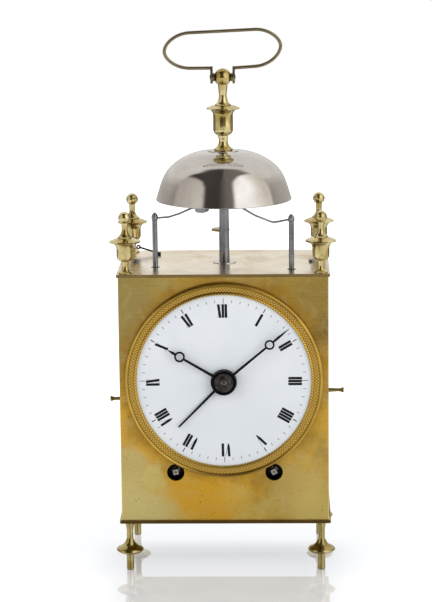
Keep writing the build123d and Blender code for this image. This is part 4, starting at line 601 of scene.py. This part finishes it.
def model_screw():
    """A slotted cheese-head screw standing on the origin."""
    deselect()
    bpy.ops.mesh.primitive_cylinder_add(vertices=32, radius=SCREW_R, depth=SCREW_HIGH,
                                        location=(0, 0, SCREW_HIGH / 2))
    head = bpy.context.object
    bpy.ops.object.transform_apply(location=True)
    finish_modifier(head, "edge", "BEVEL", width=SCREW_EDGE, segments=3)
    deselect()
    bpy.ops.mesh.primitive_cube_add(size=1, location=(0, 0, SCREW_HIGH))
    cutter = bpy.context.object
    cutter.scale = (3 * SCREW_R, SLOT_WIDE, SLOT_CUTTER)
    bpy.ops.object.transform_apply(location=True, scale=True)
    work_on(head)
    finish_modifier(head, "slot", "BOOLEAN", operation="DIFFERENCE", object=cutter)
    bpy.data.objects.remove(cutter)
    bpy.ops.object.shade_smooth_by_angle(angle=math.radians(40))
    return head


plate_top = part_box("top_plate")[1].z
model = model_screw()
for index, (x, y, slot_turn) in enumerate(SCREWS_AT, start=1):
    screw = model.copy()
    screw.data = model.data.copy()
    screw.name = "top_plate_screw_" + str(index)
    bpy.context.collection.objects.link(screw)
    turned = Matrix.Rotation(math.radians(slot_turn), 4, "Z")
    screw.data.transform(Matrix.Translation((x, y, plate_top)) @ turned)
    screw.data.materials.append(ARBOR_STEEL)
    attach(screw, "case")
    print(screw.name, "spans", corners(screw))
bpy.data.objects.remove(model)

# %% [markdown]
# ## The bell
# A bell like this is spun from a steel disc over a form. The CAD bell's dome meets its
# flank at a slight bend, which so bright a surface would show, so this bell stands for
# it. It has the same crown, mouth and thickness, and the bend is drawn out over a few
# millimetres. Its outline could be typed as many short edges, but a curve through a few
# points stays smooth. The curve is made a mesh, and modifiers spin it, give it its wall
# and round its rims.

# %% Bell
bell_low, bell_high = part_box("bell")
# Points of the outer line, in millimetres: distance from the axis, and below the crown.
BELL_LINE = ((1.8, 0.0), (9.7, 0.0), (14.33, 0.38), (18.85, 1.47), (23.16, 3.23),
             (27.45, 5.55), (31.2, 8.45), (34.4, 11.85), (36.75, 15.75), (38.15, 19.2),
             (39.3, 22.65), (40.35, 26.1), (41.4, 29.5))
BELL_WALL, RIM_ROUNDING = 1.3 * MM, 0.25 * MM
CROWN_REACH = 1.5 * MM
SPIN_STEPS = 192


def bell_outline():
    """The bell's outer line from its hole to its mouth, as a chain of edges."""
    line = bpy.data.curves.new("bell_line", "CURVE")
    line.dimensions = "3D"
    line.resolution_u = 8
    spline = line.splines.new("BEZIER")
    spline.bezier_points.add(len(BELL_LINE) - 1)
    for point, (out, drop) in zip(spline.bezier_points, BELL_LINE):
        point.co = (out * MM, 0, bell_high.z - drop * MM)
        point.handle_left_type = point.handle_right_type = "AUTO"
    hole, shoulder = spline.bezier_points[:2]
    hole.handle_left_type = hole.handle_right_type = "VECTOR"
    shoulder.handle_left_type = shoulder.handle_right_type = "FREE"
    shoulder.handle_left = shoulder.co - Vector((CROWN_REACH, 0, 0))
    shoulder.handle_right = shoulder.co + Vector((CROWN_REACH, 0, 0))
    outline = bpy.data.objects.new("spun_bell", line)
    bpy.context.collection.objects.link(outline)
    work_on(outline)
    bpy.ops.object.convert(target="MESH")
    return bpy.context.object


def outward_normals():
    """Turns all faces of the active piece outwards."""
    bpy.ops.object.mode_set(mode="EDIT")
    bpy.ops.mesh.select_all(action="SELECT")
    bpy.ops.mesh.normals_make_consistent(inside=False)
    bpy.ops.object.mode_set(mode="OBJECT")


def spin_bell():
    """The outer line turned about the clock's axis, thickened inwards, with soft rims."""
    spun = bell_outline()
    finish_modifier(spun, "spin", "SCREW", angle=math.tau, steps=SPIN_STEPS,
                    render_steps=SPIN_STEPS, screw_offset=0.0, use_merge_vertices=True,
                    merge_threshold=0.001 * MM)
    outward_normals()
    # An open shell has no inside, so its faces may all have turned the wrong way.
    if sum(face.normal.z for face in spun.data.polygons) < 0:
        spun.data.flip_normals()
    finish_modifier(spun, "wall", "SOLIDIFY", thickness=BELL_WALL, offset=-1.0,
                    use_even_offset=True)
    finish_modifier(spun, "rim", "BEVEL", width=RIM_ROUNDING, segments=3, limit_method="ANGLE",
                    angle_limit=math.radians(50))
    bpy.ops.object.shade_smooth_by_angle(angle=math.radians(35))
    return spun


spun_bell = spin_bell()
spun_bell.data.materials.append(BELL_STEEL)
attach(spun_bell, "case")
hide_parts("bell")
print("bell spans", corners(spun_bell), "and the CAD bell",
      [[round(v, 5) for v in corner] for corner in (bell_low, bell_high)])

# %% [markdown]
# ## The painted numerals
# An old dial painter drew each Roman numeral with its feet towards the centre, so the
# numerals turn with the dial. A broad brush made the heavy strokes and a fine one the
# hairlines. A font could give the letters, but in a font the two differ less than on an
# old dial. Here one stroke is modelled as a flat strip, narrowed at one end for a V, and
# each stroke of the dial is a copy with its own mesh, moved to its place. The strips are
# then joined, dropped on the domed enamel and given the thickness of the paint.

# %% Strokes
def model_stroke(name, narrow):
    """A strip 1 long along +Y and 1 wide, its near end narrowed."""
    deselect()
    bpy.ops.mesh.primitive_plane_add(size=1, location=(0, 0.5, 0))
    strip = bpy.context.object
    strip.name = name
    bpy.ops.object.transform_apply(location=True)
    bpy.ops.object.mode_set(mode="EDIT")
    bpy.ops.mesh.select_all(action="SELECT")
    bpy.ops.mesh.subdivide(number_cuts=3)
    bpy.ops.mesh.select_all(action="DESELECT")
    bpy.ops.object.mode_set(mode="OBJECT")
    for vertex in strip.data.vertices:
        vertex.select = vertex.co.y < 0.01
    bpy.ops.object.mode_set(mode="EDIT")
    bpy.ops.transform.resize(value=(narrow, 1, 1), center_override=(0, 0, 0))
    bpy.ops.object.mode_set(mode="OBJECT")
    return strip


EVEN_STROKE = model_stroke("even_stroke", 1.0)
WEDGE_STROKE = model_stroke("wedge_stroke", 0.3)
print("strokes modelled:", EVEN_STROKE.name, WEDGE_STROKE.name)


# %% [markdown]
# Each stroke is given by where its foot and its head stand, across and out from the
# centre. The dial's plane is upright, so a stroke is stretched, leaned, turned to its
# hour, and stood up in front of the dial, all in one matrix.

# %% Place one stroke
BEFORE_DIAL = 2 * MM


def place_stroke(model, width, foot, head, turn):
    """A copy of a stroke from foot to head (across, out), turned clockwise by turn."""
    across, out = head[0] - foot[0], head[1] - foot[1]
    length = math.hypot(across, out)
    lean = math.atan2(-across, out)
    matrix = (
        Matrix.Translation((DIAL_CENTRE.x, dial_low.y - BEFORE_DIAL, DIAL_CENTRE.z))
        @ Matrix.Rotation(math.radians(90), 4, "X")
        @ Matrix.Rotation(-math.radians(turn), 4, "Z")
        @ Matrix.Translation((foot[0], foot[1], 0))
        @ Matrix.Rotation(lean, 4, "Z")
        @ Matrix.Diagonal((width, length, 1, 1))
    )
    copy = model.copy()
    copy.data = model.data.copy()
    bpy.context.collection.objects.link(copy)
    copy.data.transform(matrix)
    return copy


print("strokes are placed", BEFORE_DIAL, "m before the dial")

# %% [markdown]
# A numeral is its letters side by side, and a letter is one or two strokes. The widths
# were those of the painter's brushes, and the hand was not quite even, so most numerals
# stand a little off their hour. Typed drifts do this, and stay the same at each run.

# %% Numerals
HEAVY, HAIRLINE = 1.52 * MM, 0.15 * MM
NUMERAL_IN, NUMERAL_OUT = 38.7 * MM, 46.9 * MM
ADVANCE = {"I": 1.8 * MM, "V": 3.2 * MM, "X": 2.6 * MM}
# The strokes of a letter: how broad, and its foot and its head across from the letter's
# middle, in millimetres. A V that stands alone is wider than one beside an I.
STROKES = {
    "I": ((EVEN_STROKE, HEAVY, 0.0, 0.0),),
    "V": ((WEDGE_STROKE, HEAVY, -0.85, -1.25), (EVEN_STROKE, HAIRLINE, -0.85, 1.0)),
    "X": ((EVEN_STROKE, HEAVY, 0.55, -0.55), (EVEN_STROKE, HAIRLINE, -1.1, 1.1)),
}
LONE_V = ((WEDGE_STROKE, HEAVY, 0.6, -1.7), (EVEN_STROKE, HAIRLINE, 0.6, 1.0))
NUMERALS = ["I", "II", "III", "IIII", "V", "VI", "VII", "VIII", "IX", "X", "XI", "XII"]
# How far the painter's hand set each numeral from its hour, in degrees clockwise.
HAND_DRIFT = (0, 0, 0.4, 0, -0.5, -0.8, -1.0, -1.0, -1.0, -0.4, -0.5, -0.8)


def numeral_strokes(letters, turn):
    """The strokes of one numeral, spread evenly about its hour."""
    made = []
    at = -sum(ADVANCE[letter] for letter in letters) / 2
    for letter in letters:
        at += ADVANCE[letter] / 2
        for model, width, foot, head in LONE_V if letters == "V" else STROKES[letter]:
            made.append(place_stroke(model, width, (at + foot * MM, NUMERAL_IN),
                                     (at + head * MM, NUMERAL_OUT), turn))
        at += ADVANCE[letter] / 2
    return made


numeral_parts = []
for hour, (letters, drift) in enumerate(zip(NUMERALS, HAND_DRIFT), start=1):
    numeral_parts += numeral_strokes(letters, 30 * hour + drift)
print("numeral strokes:", len(numeral_parts))

# %% [markdown]
# The minute track is sixty short marks. Those at the five minutes are longer, and those
# at the quarters reach in to the numerals. A mark is one more even stroke.

# %% Minute marks
# A mark's inner end, outer end and width, in millimetres.
MINUTE, FIVE, QUARTER = (47.8, 49.5, 0.30), (47.8, 50.5, 0.55), (47.2, 50.5, 0.34)
mark_parts = []
for minute in range(60):
    near, far, width = QUARTER if minute % 15 == 0 else FIVE if minute % 5 == 0 else MINUTE
    mark_parts.append(place_stroke(EVEN_STROKE, width * MM, (0, near * MM), (0, far * MM),
                                   6 * minute))
print("minute marks:", len(mark_parts))

# %% [markdown]
# The enamel is domed, and the paint lies on it. It could be an image on the dial, which
# blurs from near, so the strips are dropped on the dome along Y and thickened to a few
# hundredths of a millimetre. They reach a little into the enamel, to leave no gap.

# %% Join, drop and thicken the paint
PAINT_SUNK = 0.01 * MM


def fire_on_dial(parts, name, proud):
    """Joins strips, drops them on the enamel along Y and gives them the paint's thickness."""
    deselect()
    for part in parts:
        part.select_set(True)
    bpy.context.view_layer.objects.active = parts[0]
    bpy.ops.object.join()
    paint = bpy.context.object
    paint.name = name
    finish_modifier(paint, "drop", "SHRINKWRAP", target=nodes["dial"], wrap_method="PROJECT",
                    use_project_y=True, use_positive_direction=True, offset=proud)
    finish_modifier(paint, "coat", "SOLIDIFY", thickness=proud + PAINT_SUNK, offset=-1.0)
    outward_normals()
    paint.data.materials.clear()
    paint.data.materials.append(BLACK_ENAMEL)
    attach(paint, "case")
    print(name, "spans", corners(paint))


fire_on_dial(numeral_parts, "painted_numerals", 0.05 * MM)
fire_on_dial(mark_parts, "painted_minute_track", 0.03 * MM)
for model in (EVEN_STROKE, WEDGE_STROKE):
    bpy.data.objects.remove(model)

# %% [markdown]
# ## The floor
# The clock stands on a pale glossy sheet, which runs on until it can't be told from the
# white of the room. A curved backdrop would do that too, but a wide flat disc shows the
# same from every side.

# %% Floor
FLOOR_RADIUS, FLOOR_DROP = 2.6, 0.05 * MM
deselect()
bpy.ops.mesh.primitive_circle_add(vertices=96, radius=FLOOR_RADIUS, fill_type="NGON",
                                  location=(0, 0, -FLOOR_DROP))
floor = bpy.context.object
floor.name = "pale_glossy_floor"
bpy.ops.object.transform_apply(location=True)
print("floor laid, radius", FLOOR_RADIUS)

# %% [markdown]
# The sheet is plastic: matt below, with a thin gloss that mirrors the clock faintly and fades
# away from it. Under and before the clock a painted shadow darkens the sheet's glow, and what the
# metal mirrors of the sheet behind the clock is painted darker. Lamps alone would leave it grey
# at its edge, so the camera and the mirrors see it glow white there.
# Light Path tells such a look from the light that the sheet throws on the clock, and
# leaves the clock's own soft shadow on it.

# %% The floor's sheet
# All in metres: out from the middle, aside from it, and back, away from the camera.
WHITENS_OUT, BACK_SHADE_IN_MIRRORS = (0.08, 0.30, 0.74, 1.0), (0.08, 0.5)
SHADE_BACK, SHADE_ASIDE = (-0.10, 0.10), (0.045, 0.090)
SHADE = ((0.0, "#DEDEDE"), (0.28, "#D4D4D4"), (0.45, "#BFBFBF"), (0.55, "#D2D2D2"),
         (0.70, "#FFFFFF"))
GLOW = (1.42, 1.0)    # seen by the camera, and seen in metal
MIRROR_BACK, MIRROR_OUT = (-0.06, -0.04, 0.38, 0.52), (0.10, 0.25, 1.0, 0.0)

sheet, tree, place, shader = start("pale_glossy_sheet")
feed(tree, shader, {"Base Color": "#E9E9EB", "Roughness": 0.6, "Specular IOR Level": 0.0})
path = add(tree, "LightPath")
distance = add(tree, "VectorMath", (place,), operation="LENGTH")["Value"]
axes = add(tree, "SeparateXYZ", (place,))
aside = add(tree, "Math", (axes["X"],), operation="ABSOLUTE")[0]

# Painted shadow: the sheet's glow is darker under and before the clock, and white beside it.
shade = add(tree, "MapRange", (axes["Y"], *SHADE_BACK), **SOFT)[0]
shade = add(tree, "ValToRGB", (shade,), stops=SHADE)[0]
shade = lay(tree, shade, aside, SHADE_ASIDE, (0.0, 1.0), "#FFFFFF")
# Painted shade: what the metal mirrors of the sheet behind the clock is darker grey.
painted_back_shade = add(tree, "MapRange", (axes["Y"], *BACK_SHADE_IN_MIRRORS), **SOFT)[0]
painted_back_shade = add(tree, "Math", (painted_back_shade, path["Is Glossy Ray"]), operation="MULTIPLY")[0]
shade = add(tree, "Mix", {0: painted_back_shade, 6: shade, 7: "#8F8C88"}, **TINTED)[2]
bright = add(tree, "MapRange", (path["Is Glossy Ray"], 0.0, 1.0, *GLOW), **SOFT)[0]
glow = add(tree, "Emission", {"Color": shade, "Strength": bright})[0]

seen = add(tree, "Math", (path["Is Camera Ray"], path["Is Glossy Ray"]),
           operation="MAXIMUM")[0]
glow_share = add(tree, "MapRange", (distance, *WHITENS_OUT), **SOFT)[0]
glow_share = add(tree, "Math", (glow_share, seen), operation="MULTIPLY")[0]
lit = add(tree, "MixShader", (glow_share, shader.outputs[0], glow))[0]
gloss = add(tree, "BsdfGlossy", {"Color": "#F0F4FB", "Roughness": 0.04})[0]
near_clock = add(tree, "MapRange", (axes["Y"], *MIRROR_BACK), **SOFT)[0]
in_reach = add(tree, "MapRange", (distance, *MIRROR_OUT), **SOFT)[0]
mirror_share = add(tree, "Math", (near_clock, in_reach), operation="MULTIPLY")[0]
glossed = add(tree, "MixShader", (mirror_share, lit, gloss))[0]
output = next(n for n in tree.nodes if n.type == "OUTPUT_MATERIAL")
feed(tree, output, {"Surface": glossed})
floor.data.materials.append(sheet)
print("floor painted")

# %% [markdown]
# ## The room
# A studio is a white room with two big soft lights. They could be glowing planes, but a
# world made of nodes mirrors them cleaner. What the metal mirrors is white paper behind
# the clock, two round soft-edged lights beside it, and a dim side where the camera
# stands, which gives the bell and the turned brass their dark middles. The camera itself
# sees plain white, and surfaces that don't mirror get one even pale light.

# %% Room
# A box is a round light: its turn, its rise and its radius, in degrees. Turn is 0 towards
# the camera and grows to the right. Spans of turn are in radians.
LEFT_BOX, RIGHT_BOX, BOX_EDGE = (-73, 14, 36), (68, 22, 43), 4
LEFT_TONES, LEFT_SPAN = ((0.0, "#C9C3BC"), (1.0, "#F2ECE4")), (-1.7, -0.6)
RIGHT_TONES, RIGHT_SPAN = ((0.25, "#FFFFFF"), (0.8, "#D0C9C2")), (0.4, 1.9)
DIM_TONES, DIM_SPAN = ((0.0, "#4E4A46"), (0.45, "#4A4541"), (0.75, "#847E78")), (-0.8, 0.6)
PAPER_TONES = ((0.30, "#A39F99"), (0.55, "#CBC7C2"), (0.80, "#F3F1EE"))
PAPER_BEGINS, PAPER_RISE = (0.03, 0.16), (0, 0.6, 1.1)
RIGHT_POWER = 1.5

world = bpy.data.worlds.new("white_room")
bpy.context.scene.world = world
world.use_nodes = True
tree = world.node_tree
tree.nodes.clear()
toward = add(tree, "TexCoord")["Generated"]
sides = add(tree, "SeparateXYZ", (toward,))
forward = add(tree, "Math", (sides["Y"], -1.0), operation="MULTIPLY")[0]
turn = add(tree, "Math", (sides["X"], forward), operation="ARCTAN2")[0]


def tones(span, stops):
    """Colours that follow the turn, in radians, through a span."""
    share = add(tree, "MapRange", (turn, *span), **SOFT)[0]
    return add(tree, "ValToRGB", (share,), stops=stops)[0]


def softbox(room, box, light):
    """Lays a round soft-edged patch of light over the room."""
    turned, rise, radius = (math.radians(v) for v in box)
    edge = math.radians(BOX_EDGE)
    centre = (math.cos(rise) * math.sin(turned), -math.cos(rise) * math.cos(turned),
              math.sin(rise))
    facing = add(tree, "VectorMath", (toward, centre), operation="DOT_PRODUCT")["Value"]
    share = add(tree, "MapRange", (facing, math.cos(radius + edge), math.cos(radius - edge)),
                **SOFT)[0]
    return add(tree, "Mix", {0: share, 6: room, 7: light}, **TINTED)[2]


right_light = add(tree, "VectorMath", (tones(RIGHT_SPAN, RIGHT_TONES), (RIGHT_POWER,) * 3),
                  operation="MULTIPLY")[0]
room = tones(DIM_SPAN, DIM_TONES)
room = softbox(room, LEFT_BOX, tones(LEFT_SPAN, LEFT_TONES))
room = softbox(room, RIGHT_BOX, right_light)
upward = add(tree, "VectorMath", (toward, PAPER_RISE), operation="DOT_PRODUCT")["Value"]
paper = add(tree, "ValToRGB", (upward,), stops=PAPER_TONES)[0]
behind = add(tree, "MapRange", (sides["Y"], *PAPER_BEGINS), **SOFT)[0]
room = add(tree, "Mix", {0: behind, 6: room, 7: paper}, **TINTED)[2]
path = add(tree, "LightPath")
for ray, tone in (("Is Diffuse Ray", "#DADADA"), ("Is Camera Ray", "#FFFFFF")):
    room = add(tree, "Mix", {0: path[ray], 6: room, 7: tone}, **TINTED)[2]
air = add(tree, "Background", {"Color": room, "Strength": 1.0})[0]
add(tree, "OutputWorld", {"Surface": air})
print("room painted:", len(tree.nodes), "nodes")


# %% [markdown]
# Two wide lamps, one each side of the camera, light the front from above. They don't
# show in the metal, which mirrors the boxes of the room instead.

# %% Lamps
LIT_POINT = (0, 0, 0.16)


def soft_lamp(name, place, size, watts):
    """A wide lamp that aims at the middle of the clock."""
    deselect()
    bpy.ops.object.light_add(type="AREA", location=place)
    lamp = bpy.context.object
    lamp.name = name
    lamp.data.shape = "RECTANGLE"
    lamp.data.size, lamp.data.size_y = size
    lamp.data.energy = watts
    lamp.visible_glossy = False
    aim = Vector(LIT_POINT) - Vector(place)
    lamp.rotation_euler = aim.to_track_quat("-Z", "Y").to_euler()


soft_lamp("left_softbox", (-1.25, -0.9, 0.75), (1.1, 1.3), 6)
soft_lamp("right_softbox", (0.95, -1.1, 0.6), (0.8, 0.9), 6)

# %% [markdown]
# ## The camera
# The camera stands 1.45 m in front of the clock, a little right of its middle and above
# it, and looks down by 11 degrees through a long lens, so that the sides hardly open.

# %% Camera
YAW, PITCH_DOWN, ROLL = math.radians(1.648), math.radians(10.988), math.radians(-0.62)
EYE = Vector((0.036342, -1.453488, 0.442242))
LENS_MM, SENSOR_MM, CLIP_NEAR = 143.9, 36, 0.05
ahead = Vector((-math.cos(PITCH_DOWN) * math.sin(YAW), math.cos(PITCH_DOWN) * math.cos(YAW),
                -math.sin(PITCH_DOWN)))
right = Vector((math.cos(YAW), math.sin(YAW), 0))
up = right.cross(ahead)
right, up = (math.cos(ROLL) * right + math.sin(ROLL) * up,
             -math.sin(ROLL) * right + math.cos(ROLL) * up)
bpy.ops.object.camera_add(location=EYE)
camera = bpy.context.object
camera.rotation_euler = Matrix((right, up, -ahead)).transposed().to_euler()
camera.data.lens = LENS_MM
camera.data.sensor_width = SENSOR_MM
camera.data.clip_start = CLIP_NEAR
bpy.context.scene.camera = camera
print("camera looks along", tuple(round(v, 3) for v in ahead))

# %% [markdown]
# ## Settings
# The Standard view shows each colour as it is written, where a filmic one would grey the white.

# %% Settings
bpy.context.scene.view_settings.view_transform = "Standard"
